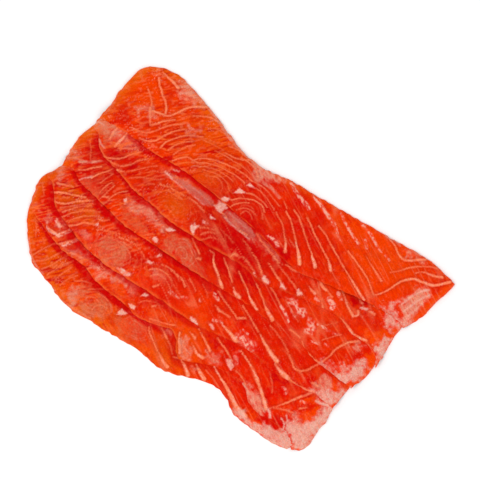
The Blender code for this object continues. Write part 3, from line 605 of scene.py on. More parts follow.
marblingPatches["slice_6"] = [
    ("film", 0.6, (62, 293), (67, 289), (74, 288), (80, 291), (80, 298), (75, 304), (68, 302)),
    ("tan", 0.8, (66, 292), (73, 288), (80, 284), (88, 285), (90, 290), (84, 295), (80, 302), (74, 305),
     (66, 299)),
    ("tan", 0.75, (80, 303), (88, 302), (98, 298), (106, 300), (112, 307), (110, 314), (104, 318), (96, 317),
     (88, 315), (80, 311)),
    ("white", 0.92, (116, 315), (119, 310.5), (122, 308), (128, 314), (121, 315.5)),
    ("tan", 0.45, (112, 320), (120, 317), (130, 319), (140, 322), (146, 330), (144, 338), (134, 338),
     (124, 334), (115, 329)),
    ("tan", 0.45, (126, 325), (136, 326), (142, 333), (140, 343), (132, 340), (127, 333)),
    ("film", 0.7, (166, 331), (170, 331), (169, 335), (166, 334)),
    ("film", 0.7, (193, 369), (198, 368), (197, 373), (193, 372)),
    ("belly", 0.95, (236, 408), (244, 413), (252, 421), (258, 427), (268, 425), (276, 430), (286, 428),
     (290, 434), (292, 442), (296, 451), (288, 451), (278, 447), (264, 439), (250, 429), (240, 420),
     (234, 414)),
    ("orange", 0.9, (243, 411), (248, 409), (256, 416), (262, 422), (260, 427), (254, 426), (247, 419)),
    ("orange", 0.95, (272, 429), (278, 430), (280, 432), (276, 433), (273, 431)),
    ("orange", 0.7, (30, 200), (40, 220), (40, 240), (34, 248), (28, 236)),
    ("orange", 0.6, (152, 346), (158, 350), (166, 366), (160, 367), (152, 358)),
    ("orange", 0.6, (168, 352), (178, 360), (184, 374), (176, 372), (168, 362)),
    ("deep", 0.6, (74, 258), (88, 270), (98, 284), (90, 286), (80, 274)),
]


# The round muscles on both sides of the spine, as nested arcs in the photograph's pixels: finish, width,
# strength, centre, half-axes of the innermost and the outermost arc, turn, count, and the angles they span
roundMuscles = {
    "slice_1": [
        ("fat", 1.0, 0.3, (203, 177), (5, 2.5), (30, 13), 24, 6, -150, 120),
        ("deep", 1.2, 0.5, (203, 177), (7, 3.5), (26, 11), 24, 4, -140, 110),
        ("fat", 1.1, 0.45, (247, 211), (3, 2), (16, 12), 20, 4, -170, 20),
        ("deep", 1.2, 0.6, (247, 212), (5, 3), (19, 14), 20, 4, -160, 30),
    ],
    "slice_2": [
        ("fat", 1.0, 0.36, (174, 205), (6, 3.5), (30, 17), 36, 6, -120, 75),
        ("deep", 1.2, 0.45, (174, 205), (9, 5), (28, 15), 36, 4, -110, 70),
        ("fat", 1.1, 0.5, (211, 238), (3, 2.5), (17, 12), 30, 4, -175, 10),
        ("deep", 1.3, 0.6, (211, 238), (5, 4), (20, 14), 30, 4, -170, 20),
    ],
    "slice_3": [
        ("fat", 1.0, 0.3, (124, 213), (4, 3), (26, 13), 40, 5, -140, 80),
        ("deep", 1.1, 0.4, (124, 213), (6, 4), (22, 11), 40, 4, -120, 70),
        ("film", 1.2, 0.85, (181, 253), (3, 3), (15, 13), 35, 5, -200, 60),
        ("deep", 1.2, 0.75, (181, 253), (4.5, 4.5), (18, 15), 35, 5, -190, 50),
    ],
    "slice_4": [
        ("film", 1.2, 0.7, (112, 252), (3, 3), (19, 14), 30, 5, -180, 160),
        ("deep", 1.1, 0.45, (112, 252), (5, 4.5), (22, 16), 30, 5, -120, 90),
        ("fat", 1.0, 0.4, (112, 252), (21, 15), (34, 24), 30, 4, -95, 30),
        ("fat", 1.1, 0.45, (158, 281), (3, 2.5), (20, 14), 34, 5, -175, 20),
        ("deep", 1.3, 0.55, (158, 281), (5, 4), (22, 16), 34, 4, -165, 30),
    ],
    "slice_5": [
        ("fat", 1.0, 0.35, (116, 282), (4, 2.5), (24, 12), 36, 5, -150, 100),
        ("deep", 1.1, 0.4, (116, 282), (6, 3.5), (22, 11), 36, 4, -140, 90),
        ("fat", 1.1, 0.4, (158, 311), (4, 3), (20, 12), 30, 5, -170, 60),
        ("deep", 1.2, 0.5, (158, 311), (6, 4), (22, 13), 30, 4, -150, 60),
    ],
    "slice_6": [
        ("film", 1.2, 0.6, (92, 303), (4, 3), (20, 13), 25, 5, -170, 150),
        ("deep", 1.1, 0.5, (92, 303), (6, 4), (22, 14), 25, 4, -150, 110),
        ("film", 1.1, 0.5, (135, 327), (4, 3), (17, 12), 35, 5, -180, 90),
        ("deep", 1.1, 0.4, (135, 327), (6, 4), (18, 13), 35, 4, -160, 80),
    ],
}


def linearColor(hexColor):
    channels = [int(hexColor[i:i + 2], 16) / 255 for i in (1, 3, 5)]
    linear = [c / 12.92 if c <= 0.04045 else ((c + 0.055) / 1.055) ** 2.4 for c in channels]
    return (*linear, 1.0)


def cameraAxes(view):
    azimuth = math.radians(view["azimuthDeg"])
    elevation = math.radians(view["elevationDeg"])
    right = np.array([math.cos(azimuth), math.sin(azimuth), 0.0])
    away = np.array([-math.sin(azimuth), math.cos(azimuth), 0.0])
    back = -away * math.cos(elevation) + np.array([0.0, 0.0, math.sin(elevation)])
    up = np.cross(back, right)
    mmPerPixel = view["spanMm"] / view["pictureSide"]
    across = (view["originPx"][0] - view["pictureSide"] / 2) * mmPerPixel
    down = (view["originPx"][1] - view["pictureSide"] / 2) * mmPerPixel
    target = away * down / math.sin(elevation) - right * across
    distance = view["spanMm"] * view["lensMm"] / view["sensorMm"]
    return target, back, right, up, distance


def toPicture(points, view):  # millimetres to pixels of the picture
    target, back, right, up, distance = cameraAxes(view)
    seen = points - (target + back * distance)
    scale = distance / -(seen @ back) * view["pictureSide"] / view["spanMm"]
    middle = view["pictureSide"] / 2
    return np.stack([middle + (seen @ right) * scale, middle - (seen @ up) * scale], axis=1)


def between(a, b, start, end, t):  # from a at the start to b at the end
    return ((end - t) * a + (t - start) * b) / (end - start)


def smoothCurve(points, perSpan=12):  # a centripetal curve through the points
    p = np.array(points, dtype=float)
    p = np.vstack([2 * p[0] - p[1], p, 2 * p[-1] - p[-2]])
    knots = np.concatenate([[0], np.cumsum(np.sqrt(np.linalg.norm(np.diff(p, axis=0), axis=1)))])
    curve = []
    for i in range(1, len(p) - 2):
        k = knots[i - 1:i + 3]
        q = p[i - 1:i + 3]
        for t in np.linspace(k[1], k[2], perSpan, endpoint=False):
            a = [between(q[j], q[j + 1], k[j], k[j + 1], t) for j in range(3)]
            b = [between(a[j], a[j + 1], k[j], k[j + 2], t) for j in range(2)]
            curve.append(between(b[0], b[1], k[1], k[2], t))
    curve.append(p[-2])
    return np.array(curve)


def runAlong(curve):  # each point's share of the curve's length
    run = np.concatenate([[0], np.cumsum(np.linalg.norm(np.diff(curve, axis=0), axis=1))])
    return run / run[-1]


def atShares(curve, shares):
    run = runAlong(curve)
    return np.stack([np.interp(shares, run, curve[:, axis]) for axis in (0, 1)], axis=1)


def nearestOnLine(points, line):  # distance to a polyline, and the share of its length there
    a, b = line[:-1], line[1:]
    step = b - a
    offset = points[:, None] - a[None]
    along = np.einsum("psk,sk->ps", offset, step) / np.maximum((step ** 2).sum(axis=1), 1e-9)
    along = np.clip(along, 0, 1)
    gap = np.linalg.norm(offset - along[..., None] * step[None], axis=2)
    best = gap.argmin(axis=1)
    rows = np.arange(len(points))
    run = runAlong(line)
    return gap[rows, best], run[best] + (run[best + 1] - run[best]) * along[rows, best]


def insideOutline(points, outline):
    inside = np.zeros(len(points), dtype=bool)
    for a, b in zip(outline, np.roll(outline, -1, axis=0)):
        crosses = (a[1] > points[:, 1]) != (b[1] > points[:, 1])
        x = a[0] + (points[:, 1] - a[1]) * (b[0] - a[0]) / (b[1] - a[1] + 1e-12)
        inside ^= crosses & (points[:, 0] < x)
    return inside


def inBoxOf(line, points, margin):  # which of the points lie in the box round a line
    low, high = line.min(axis=0) - margin, line.max(axis=0) + margin
    return np.flatnonzero(((points > low) & (points < high)).all(axis=1))


def easeIn(x):
    x = np.clip(x, 0, 1)
    return x * x * (3 - 2 * x)


def noiseAt(place, size, seed):  # smooth noise from 0 to 1 over the plane
    side = 64
    grid = np.random.default_rng(seed).random((side, side))
    cell = np.floor(place / size).astype(int)
    f = place / size - cell
    f = f * f * (3 - 2 * f)
    a, b = cell[:, 0] % side, cell[:, 1] % side
    c, d = (a + 1) % side, (b + 1) % side
    low = grid[a, b] * (1 - f[:, 0]) + grid[c, b] * f[:, 0]
    high = grid[a, d] * (1 - f[:, 0]) + grid[c, d] * f[:, 0]
    return low * (1 - f[:, 1]) + high * f[:, 1]


def waver(place, size, seeds):  # a sideways shift of up to half a unit each way
    return np.stack([noiseAt(place, size, seed) for seed in seeds], axis=1) - 0.5


def bowedEdge(start, end):  # a covered edge bows outward between its corners
    t = np.linspace(0, 1, 33)
    x = start[0] + (end[0] - start[0]) * t
    y = start[1] + (end[1] - start[1]) * t + hiddenBowMm * np.sin(math.pi * t)
    return np.stack([x, y], axis=1)


def sliceEdges(sides):
    back = smoothCurve(sides["back"]) if len(sides["back"]) > 2 else bowedEdge(*sides["back"])
    front = smoothCurve(sides["front"])
    left = smoothCurve([sides["front"][0], *sides["left"], sides["back"][0]])
    right = smoothCurve([sides["front"][-1], *sides["right"], sides["back"][-1]])
    return front, back, left, right


def slicePlan(edges, u, v):  # place in the slice, from above, of each pair of shares along and across it
    front, back, left, right = edges
    low, high = atShares(front, u), atShares(back, u)
    start, end = atShares(left, v), atShares(right, v)
    u, v = u[:, None], v[:, None]
    lowCorners = (1 - u) * front[0] + u * front[-1]
    highCorners = (1 - u) * back[0] + u * back[-1]
    return (1 - v) * (low - lowCorners) + v * (high - highCorners) + (1 - u) * start + u * end


# Height maps of the pile, seen from above, reach a little past its outline
mapStepMm = 1.0
mapReachMm = (114.0, 80.0)
mapX, mapY = (np.arange(-reach, reach + mapStepMm, mapStepMm) for reach in mapReachMm)


def castMap(mesh, side):  # heights of the mesh's upper side, 1, or of its lower one, -1
    faces = [tuple(p.vertices) for p in mesh.polygons]
    tree = BVHTree.FromPolygons([v.co.copy() for v in mesh.vertices], faces)
    farOff = 0.1 * side  # metres, well clear of the pile
    heights = np.full((len(mapX), len(mapY)), np.nan)
    for i, x in enumerate(mapX):
        for j, y in enumerate(mapY):
            hit = tree.ray_cast(Vector((x * metresPerMm, y * metresPerMm, farOff)), Vector((0, 0, -side)))[0]
            if hit is not None:
                heights[i, j] = hit.z / metresPerMm
    return heights


def around(heights, fill):  # the four neighbours of each cell
    wide = np.pad(heights, 1, constant_values=fill)
    return np.stack([wide[2:, 1:-1], wide[:-2, 1:-1], wide[1:-1, 2:], wide[1:-1, :-2]])


def fillOut(heights, passes=16):  # carry the heights outward past the outline
    for _ in range(passes):
        near = around(heights, np.nan)
        known = ~np.isnan(near)
        mean = np.where(known, near, 0).sum(axis=0) / np.maximum(known.sum(axis=0), 1)
        reached = np.isnan(heights) & known.any(axis=0)
        heights = np.where(reached, mean, heights)
    return np.nan_to_num(heights)


def soften(heights, sigmaMm):
    reach = int(3 * sigmaMm / mapStepMm) + 1
    kernel = np.exp(-0.5 * (np.arange(-reach, reach + 1) * mapStepMm / sigmaMm) ** 2)
    kernel /= kernel.sum()
    for axis in (0, 1):
        pads = [(reach, reach) if a == axis else (0, 0) for a in (0, 1)]
        wide = np.pad(heights, pads, mode="edge")
        heights = np.apply_along_axis(np.convolve, axis, wide, kernel, mode="valid")
    return heights


def readMap(heights, plan):
    fx = np.clip((plan[:, 0] - mapX[0]) / mapStepMm, 0, len(mapX) - 1.001)
    fy = np.clip((plan[:, 1] - mapY[0]) / mapStepMm, 0, len(mapY) - 1.001)
    i, j = fx.astype(int), fy.astype(int)
    fx, fy = fx - i, fy - j
    low = heights[i, j] * (1 - fx) + heights[i + 1, j] * fx
    high = heights[i, j + 1] * (1 - fx) + heights[i + 1, j + 1] * fx
    return low * (1 - fy) + high * fy


def solidMaps(solid):  # the thickness of a solid slice and the height of its underside
    upper, lower = castMap(solid, 1), castMap(solid, -1)
    within = ~np.isnan(upper)
    for _ in range(sliceShape["rimCells"]):
        within &= around(within, False).all(axis=0)
    thickness = soften(fillOut(np.where(within, upper - lower, np.nan)), sliceShape["thicknessSoftMm"])
    return thickness, soften(fillOut(lower), sliceShape["undersideSoftMm"])


# How the marks are laid on the flesh, in pixels of the photograph
marbling = {
    "wobblePx": 0.5,            # the marks' edges waver by this much
    "wobbleSizePx": 6.0,
    "patchWobblePx": 3.4,
    "patchWobbleSizePx": 3.0,
    "lineEdgePx": 1.1,          # width over which a line fades out at its side
    "lineGrainPx": 0.9,         # and how uneven that side is
    "lineThinning": 0.78,       # the soft sides make up the rest of a line's width
    "wedgePx": 2.6,             # a line of fat that ends as wide as this starts thin
    "frostedPx": (1.8, 3.8),    # from the first width a line of fat is frosted with painted highlights, and fully at the second
    "frostStrength": 0.8,
    "patchEdgePx": 7.0,
    "crispEdgePx": 1.54,        # of the patches with a sharp outline
    "haloPx": 2.2,              # painted shade beside a line of fat
    "haloStrength": 0.3,
    "grainPx": (4.5, 1.6),      # length and width of the grain of filmed marks
    "veilPx": (9.0, 1.5),       # of the fine creases of a membrane's painted sheen, which is drawn along the slice
    "veilTurnDeg": 40.0,
    "frostPx": (2.2, 1.3),      # of the painted glints in frosted marks
    "fleckPx": (3.6, 1.5),      # and of the fine flecks all over the flesh
    "fleckStrength": 0.294,
    "flakeTurnDeg": (-12.0, 62.0),  # how the flakes lie in the back and in the belly
    "bellyLine": (0.9, 330.0, 110.0),  # slant, start and width of the change from the back to the belly
    "filamentPx": (24.0, 3.4),  # length and spacing of the faint threads between the marks
    "filamentStrength": 0.9,
    "bellyThreadPx": (80.0, 6.0),  # the longer threads of the belly
    "bellyThreadStrength": 0.36,
    "furrowPx": (12.0, 1.9),    # the redder lines between the threads
    "furrowStrength": 0.75,
    "glintShare": 0.05,         # painted glints over this share of the flesh, in clusters
    "glintStrength": 0.4,
    "bellyGlintShare": 0.14,    # painted glints over this share of the pale fat of the belly
    "bellyGlintStrength": 0.7,
    "warmStrength": 0.5,        # broad orange patches of the back
    "warmSizePx": 26.0,
}
crispKinds = ("white", "veil")

# The finishes of the marks, from the lowest to the topmost
layerColors = {
    "orange": "#F24400",
    "amber": "#E4680E",
    "tan": "#D86C46",
    # the deep red: crimson flesh, and painted shade in the dark red bands along the slices' edges
    "deep": "#CC0206",
    # film and veil: pale membrane, with painted sheen where light reflects off the wet surface
    "film": "#E88E74",
    "veil": "#C86658",
    # shade: painted shade under the edges of the slices above, and beside the lines of fat and the white
    # chunks
    "shade": "#9C1204",
    "fat": "#FA8C60",
    "belly": "#E8A694",
    # frost: painted highlights, the glitter of light on wet fibres
    "frost": "#FAAE98",
    "white": "#F0B4A2",
    # lip: painted highlight along each cut edge, and also the colour of the faint threads
    "lip": "#F4682E",
}

# Broad changes of tone over the whole pile: crimson in the middle, orange and amber towards the outline.
# Each has its finish, its strength, its radius and its middle, in pixels.
broadTones = [
    ("deep", 0.8, 44, (236, 246)), ("deep", 0.55, 30, (212, 204)), ("deep", 0.55, 26, (102, 166)),
    ("deep", 0.4, 28, (150, 190)), ("deep", 0.35, 26, (172, 292)), ("deep", 0.3, 34, (290, 232)),
    ("deep", 0.25, 34, (280, 345)), ("orange", 0.4, 44, (330, 305)), ("deep", 0.35, 24, (70, 220)),
    ("orange", 0.8, 42, (148, 96)), ("amber", 0.3, 34, (216, 132)), ("amber", 0.4, 28, (100, 322)),
    ("amber", 0.4, 26, (52, 262)), ("amber", 0.35, 30, (168, 356)), ("orange", 0.6, 30, (190, 330)),
    ("orange", 0.8, 50, (385, 258)), ("amber", 0.35, 22, (204, 180)), ("amber", 0.35, 18, (174, 205)),
]


def drawnNoise(pixels, size, turnDeg, seed):  # noise drawn out to a length and a width, at a slant
    turn = math.radians(turnDeg)
    lengthways = pixels[:, 0] * math.cos(turn) + pixels[:, 1] * math.sin(turn)
    sideways = pixels[:, 1] * math.cos(turn) - pixels[:, 0] * math.sin(turn)
    return noiseAt(np.column_stack([lengthways / size[0], sideways / size[1]]), 1.0, seed)


def bellyShare(pixels):  # from 0 in the back to 1 in the belly
    slant, start, width = marbling["bellyLine"]
    return easeIn((pixels[:, 0] + slant * pixels[:, 1] - start) / width)


def streaks(pixels, size, seed):  # the flakes lie across the slice in the back and turn down it in the belly
    inBack, inBelly = (drawnNoise(pixels, size, turnDeg, seed) for turnDeg in marbling["flakeTurnDeg"])
    return inBack + (inBelly - inBack) * bellyShare(pixels)


def unevenCover(pixels, speck):  # how thinly or thickly each finish lies at each point
    grain = streaks(pixels, marbling["grainPx"], 16)
    creases = drawnNoise(pixels, marbling["veilPx"], marbling["veilTurnDeg"], 45)
    glint = easeIn((streaks(pixels, marbling["frostPx"], 28) - 0.4) / 0.22)
    patchy = 0.7 + 0.6 * noiseAt(pixels, 7.0, 15)
    fading = 0.45 + 0.55 * noiseAt(pixels, 9.0, 23) + 0.35 * noiseAt(pixels, 3.5, 29)
    filmed = (0.22 + 1.2 * grain + 0.5 * (speck - 0.5)) * patchy
    return {
        "tone": 0.6 + 0.5 * patchy,
        "tan": filmed,
        "film": filmed,
        "veil": 0.45 + 0.75 * creases + 0.5 * (speck - 0.5),
        "fat": fading * (0.75 + 0.5 * speck),
        "belly": (0.7 + 0.4 * grain + 0.3 * (speck - 0.5)) * (0.6 + 0.4 * patchy),
        "frost": 0.12 + 0.85 * glint,
        "white": 0.72 + 0.3 * grain + 0.2 * speck,
    }


def deepen(paint, kind, cover):  # keep the stronger of what is there and what is laid
    paint[kind] = np.maximum(paint[kind], cover)


def shadeBeside(gap):  # painted shade in a narrow band
    return marbling["haloStrength"] * easeIn(1 - np.abs(gap) / marbling["haloPx"])


def paintMarks(pixels, lines, patches):  # how much of each finish every point has
    speck = np.random.default_rng(20).random(len(pixels))
    wobble = waver(pixels, marbling["wobbleSizePx"], (11, 12))
    fineWobble = waver(pixels, marbling["patchWobbleSizePx"], (13, 14))
    place = pixels + wobble * 2 * marbling["wobblePx"]
    patchPlace = pixels + (wobble + fineWobble) * 2 * marbling["patchWobblePx"]
    cover = unevenCover(pixels, speck)
    paint = {kind: np.zeros(len(pixels)) for kind in layerColors}

    def lay(kind, near, strength):
        if kind in cover:
            strength = strength * cover[kind][near]
        paint[kind][near] = np.maximum(paint[kind][near], np.clip(strength, 0, 1))

    def layTone(kind, strength, radius, middle):
        distance = np.linalg.norm(pixels - middle, axis=1)
        deepen(paint, kind, strength * np.exp(-(distance / radius) ** 2) * cover["tone"])

    def layPatch(kind, strength, *points):
        crisp = kind in crispKinds
        outline = np.array(points, dtype=float) if crisp else smoothCurve([*points, points[0]], 4)[:-1]
        spread = place if crisp else patchPlace
        near = inBoxOf(outline, spread, marbling["patchEdgePx"])
        if not len(near):
            return
        gap, _ = nearestOnLine(spread[near], np.vstack([outline, outline[:1]]))
        depth = np.where(insideOutline(spread[near], outline), gap, -gap)
        depth = depth + (speck[near] - 0.5) * marbling["lineGrainPx"]
        if crisp:
            lay(kind, near, strength * easeIn(0.1 + depth / marbling["crispEdgePx"]))
        else:
            lay(kind, near, strength * easeIn(0.5 + depth / marbling["patchEdgePx"]))
        if kind == "white":
            # painted shade round a white chunk
            lay("shade", near, shadeBeside(depth + 1.2))

    def layLine(kind, startWidth, endWidth, strength, *points):
        line = smoothCurve(points, 5)
        near = inBoxOf(line, place, max(startWidth, endWidth) / 2 + 2 * marbling["haloPx"])
        if not len(near):
            return
        gap, share = nearestOnLine(place[near], line)
        gap = gap + (speck[near] - 0.5) * marbling["lineGrainPx"]
        width = startWidth + (endWidth - startWidth) * share
        half = width / 2 * marbling["lineThinning"]
        if kind == "fat" and endWidth >= marbling["wedgePx"]:
            half = half * (0.4 + 0.6 * easeIn(share * 1.6))
        lay(kind, near, strength * easeIn(0.5 + (half - gap) / marbling["lineEdgePx"]))
        if kind == "fat":
            # painted shade beside the line of fat
            lay("shade", near, strength * shadeBeside(gap - half - 1))
            # painted highlights frost the wide ends of the lines of fat
            thin, thick = marbling["frostedPx"]
            frosted = marbling["frostStrength"] * strength * easeIn((width - thin) / (thick - thin))
            lay("frost", near, frosted * easeIn(0.5 + (half * 0.6 - gap) / marbling["lineEdgePx"]))

    for tone in broadTones:
        layTone(*tone)
    for patch in patches:
        layPatch(*patch)
    for line in lines:
        layLine(*line)
    paintBetween(paint, pixels, speck)
    return paint


def paintBetween(paint, pixels, speck):  # faint threads, flecks and furrows between the marks, and painted glints
    inBelly = bellyShare(pixels)
    calm = (1 - 0.7 * inBelly) * (1 - 0.8 * paint["deep"]) * (1 - 0.8 * np.minimum(paint["tan"] * 1.5, 1))
    thread = easeIn(1 - np.abs(streaks(pixels, marbling["filamentPx"], 18) - 0.5) / 0.08)
    presence = easeIn(noiseAt(pixels, 18.0, 19) * 2.2 - 0.5)
    deepen(paint, "lip", thread * presence * calm * marbling["filamentStrength"])

    longThread = drawnNoise(pixels, marbling["bellyThreadPx"], marbling["flakeTurnDeg"][1], 35)
    longThread = easeIn(1 - np.abs(longThread - 0.5) / 0.09) * easeIn(inBelly * 2 - 0.9)
    presence = easeIn(noiseAt(pixels, 15.0, 36) * 2.4 - 0.6) * (0.6 + 0.6 * noiseAt(pixels, 4.0, 37))
    deepen(paint, "fat", longThread * presence * marbling["bellyThreadStrength"])

    fleck = calm * easeIn((streaks(pixels, marbling["fleckPx"], 24) - 0.58) / 0.24)
    deepen(paint, "fat", fleck * (0.4 + noiseAt(pixels, 12.0, 25)) * marbling["fleckStrength"])
    # painted highlights: small glints of wet flesh in clusters, and pale glints on the belly's fat
    cluster = easeIn(noiseAt(pixels, 10.0, 34) * 3 - 1.5)
    glints = speck > 1 - marbling["glintShare"]
    deepen(paint, "frost", marbling["glintStrength"] * calm * cluster * glints)
    glints = speck > 1 - marbling["bellyGlintShare"]
    deepen(paint, "white", marbling["bellyGlintStrength"] * paint["belly"] * glints)

    furrow = easeIn((streaks(pixels, marbling["furrowPx"], 26) - 0.56) / 0.2)
    furrow = furrow * (0.4 + noiseAt(pixels, 12.0, 27))
    bare = (1 - 0.7 * inBelly) * (1 - 0.6 * paint["orange"]) * (1 - np.minimum(paint["tan"] * 1.5, 0.8))
    deepen(paint, "deep", furrow * bare * marbling["furrowStrength"])
    warm = easeIn(noiseAt(pixels, marbling["warmSizePx"], 33) * 2 - 0.4) * (1 - inBelly)
    deepen(paint, "orange", marbling["warmStrength"] * warm)
    for kind in ("deep", "orange"):
        paint[kind] = np.clip(paint[kind] * (0.85 + 0.3 * speck), 0, 1)


def ringLines(rings):  # the curved flakes of the round muscles, as nested arcs
    lines = []
    for kind, width, strength, centre, inner, outer, turnDeg, count, startDeg, endDeg in rings:
        turn = math.radians(turnDeg)
        for k in range(count):  # no two arcs are quite alike in their ends, their wave and their strength
            share = k / max(count - 1, 1)
            start, end = startDeg + 9 * math.sin(5 * k), endDeg + 14 * math.sin(3 * k + 1)
            angles = np.radians(np.linspace(start, end, 9))
            uneven = 1 + 0.07 * np.sin(3 * angles + 2 * k)
            x = (inner[0] + (outer[0] - inner[0]) * share) * uneven * np.cos(angles)
            y = (inner[1] + (outer[1] - inner[1]) * share) * uneven * np.sin(angles)
            points = np.column_stack([centre[0] + x * math.cos(turn) - y * math.sin(turn),
                                      centre[1] + x * math.sin(turn) + y * math.cos(turn)])
            lines.append((kind, width, width, strength * (0.42 + 0.2 * math.sin(2.3 * k)), *points))
    return lines


# What shows along the edges of a slice: painted shade under the edge above, an amber rim and a painted
# highlight on the lip
edgeLook = {
    "shadeBandMm": 4.6,              # painted shade: dark red beside the edge of the slice above
    "shadeBandStartMm": 1.8,         # how far from the slice's ends it begins
    "clearCornerMm": {"slice_2": 15.0},  # this slice's corner stays free of it
    "shadeBandRampMm": 9.0,          # and over what width it grows to its full strength
    "seamShadeMm": 0.7,              # the darkest painted shade, a line right under that edge
    "seamShadeStrength": 0.5,
    "lipHighlightMm": 0.8,               # painted highlight: a pale lip along the slice's own cut edge
    "lipHighlightStrength": 0.7,
    "amberMm": 7.0,             # amber rim of the dried outer side
    "orangeMm": 4.0,
    "bellyFade": 0.75,          # the edges show less towards the belly
    "noiseMm": (14.0, 4.0),     # sizes of the unevenness of all of these
}


def bellyRamp(u):  # from 0 in the back half of a slice to 1 in its belly half
    return easeIn(u * 2 - 0.6)


def paintEdges(paint, name, spots):  # the painted shade band and seam, the amber rim and the painted highlight on the lip
    look = edgeLook
    coarse, fine = look["noiseMm"]
    edgeNoise = 0.6 * noiseAt(spots["plan"], coarse, 41) + 0.4 * noiseAt(spots["plan"], fine, 43)
    shadeBandStartMm = look["clearCornerMm"].get(name, look["shadeBandStartMm"])
    inward = easeIn((spots["sideMm"] - shadeBandStartMm) / look["shadeBandRampMm"])
    faint = 1 - look["bellyFade"] * bellyRamp(spots["u"])

    # painted shade: a dark red band and a darker seam where the slice above shades this one, which also dims
    # the paler marks there
    band = np.clip(1 - spots["besideMm"] / (look["shadeBandMm"] * (0.25 + 1.3 * edgeNoise)), 0, 1)
    edgeShade = easeIn(band * 1.6) * inward * faint
    paint["deep"] = np.clip(np.maximum(paint["deep"] * (0.3 + 0.7 * inward), edgeShade) * 1.25, 0, 1)
    for kind in ("film", "tan", "amber", "fat", "frost"):
        paint[kind] = paint[kind] * (1 - 0.7 * edgeShade)
    seamShade = easeIn(1.3 - np.abs(spots["besideMm"]) / look["seamShadeMm"]) * inward * (0.3 + edgeNoise)
    deepen(paint, "shade", look["seamShadeStrength"] * seamShade * faint)

    rimMm = np.minimum(spots["outerMm"], spots["frontMm"]) if name == lowestSlice else spots["outerMm"]
    inBack = 1 - easeIn(spots["u"] * 2 - 0.5)
    deepen(paint, "amber", easeIn(1.3 - rimMm / look["amberMm"]) * (0.2 + 0.7 * edgeNoise) * inBack)
    # painted highlight along the slice's own cut edge
    lip = easeIn(1.2 - spots["frontMm"] / look["lipHighlightMm"])
    lip = lip * easeIn(noiseAt(spots["plan"], fine, 42) * 2.4 - 0.6)
    paint["lip"] = paint["lip"] * (1 - edgeShade)
    deepen(paint, "lip", look["lipHighlightStrength"] * lip * (0.3 + 0.7 * inward) * faint)
    deepen(paint, "orange", easeIn(1.2 - spots["outerMm"] / look["orangeMm"]))


def rowShares(edges, widthMm, above):  # fine rows where the slice shows, and a few where it's covered
    if not above:
        return np.linspace(0, 1, int(widthMm / sliceShape["cellMm"]) + 1)
    probe = np.linspace(0, 1, 61)
    along, across = (side.ravel() for side in np.meshgrid(probe, probe, indexing="ij"))
    plan = slicePlan(edges, along, across)
    frontAbove = smoothCurve(sliceSides[above]["front"])
    reach = np.interp(plan[:, 0], *frontAbove.T) + sliceShape["coveredMarginMm"]
    shown = min(across[plan[:, 1] < reach].max(), sliceShape["shownAtMost"])
    fine = np.linspace(0, shown, int(widthMm * shown / sliceShape["cellMm"]) + 1)
    return np.concatenate([fine, np.linspace(shown, 1, sliceShape["coveredCells"] + 1)[1:]])


def cellBlock(name, cellsAlong, cellsAcross):  # a closed block, one unit high, of flat cells
    bpy.ops.object.select_all(action="DESELECT")
    bpy.ops.mesh.primitive_grid_add(x_subdivisions=cellsAlong, y_subdivisions=cellsAcross, size=1)
    piece = bpy.context.object
    piece.name = name
    bpy.ops.object.mode_set(mode="EDIT")
    bpy.ops.mesh.select_all(action="SELECT")
    bpy.ops.mesh.extrude_region_move(TRANSFORM_OT_translate={"value": (0, 0, -1)})
    bpy.ops.object.mode_set(mode="OBJECT")
    return piece


def pastEdge(plan, isTop, above):  # how far each upper point lies out from under the slice above
    besideMm = np.full(len(plan), clearMm)
    if above:
        frontAbove = smoothCurve(sliceSides[above]["front"], 4)
        gap, _ = nearestOnLine(plan[isTop], frontAbove)
        covered = plan[isTop, 1] > np.interp(plan[isTop, 0], *frontAbove.T)
        besideMm[isTop] = np.where(covered, -gap, gap)
    return besideMm


def sliceSize(edges):  # from the left end to the right one, and from the front to the back
    front, _, left, _ = edges
    return np.linalg.norm(front[-1] - front[0]), np.linalg.norm(left[-1] - left[0])


def readBack(items, attribute, width, kind=float):  # an attribute of all the items, a row for each
    values = np.empty(len(items) * width, dtype=kind)
    items.foreach_get(attribute, values)
    return values.reshape(-1, width)


def sliceSpots(mesh, edges, rows, cellsAlong, above):  # where each point of the cell block comes to lie
    corner = readBack(mesh.vertices, "co", 3)
    isTop = corner[:, 2] > -0.5  # the block's underside lies at -1
    u = np.rint((corner[:, 0] + 0.5) * cellsAlong) / cellsAlong
    v = rows[np.rint((corner[:, 1] + 0.5) * (len(rows) - 1)).astype(int)]
    lengthMm, widthMm = sliceSize(edges)
    sideMm = np.minimum(u, 1 - u) * lengthMm
    frontMm, backMm = v * widthMm, (1 - v) * widthMm
    rimMm = np.minimum(sideMm, np.minimum(frontMm, backMm))
    plan = slicePlan(edges, u, v)
    ragged = waver(plan, sliceShape["raggedSizeMm"], (21, 22)) * 2 * sliceShape["raggedMm"]
    plan = plan + ragged * easeIn(1 - rimMm / sliceShape["rimMm"])[:, None]
    return {
        "isTop": isTop,
        "u": u,
        "plan": plan,
        "sideMm": sideMm,
        "frontMm": frontMm,
        "backMm": backMm,
        "rimMm": rimMm,
        "outerMm": sideMm if above else np.minimum(sideMm, backMm),
        "besideMm": pastEdge(plan, isTop, above),
    }


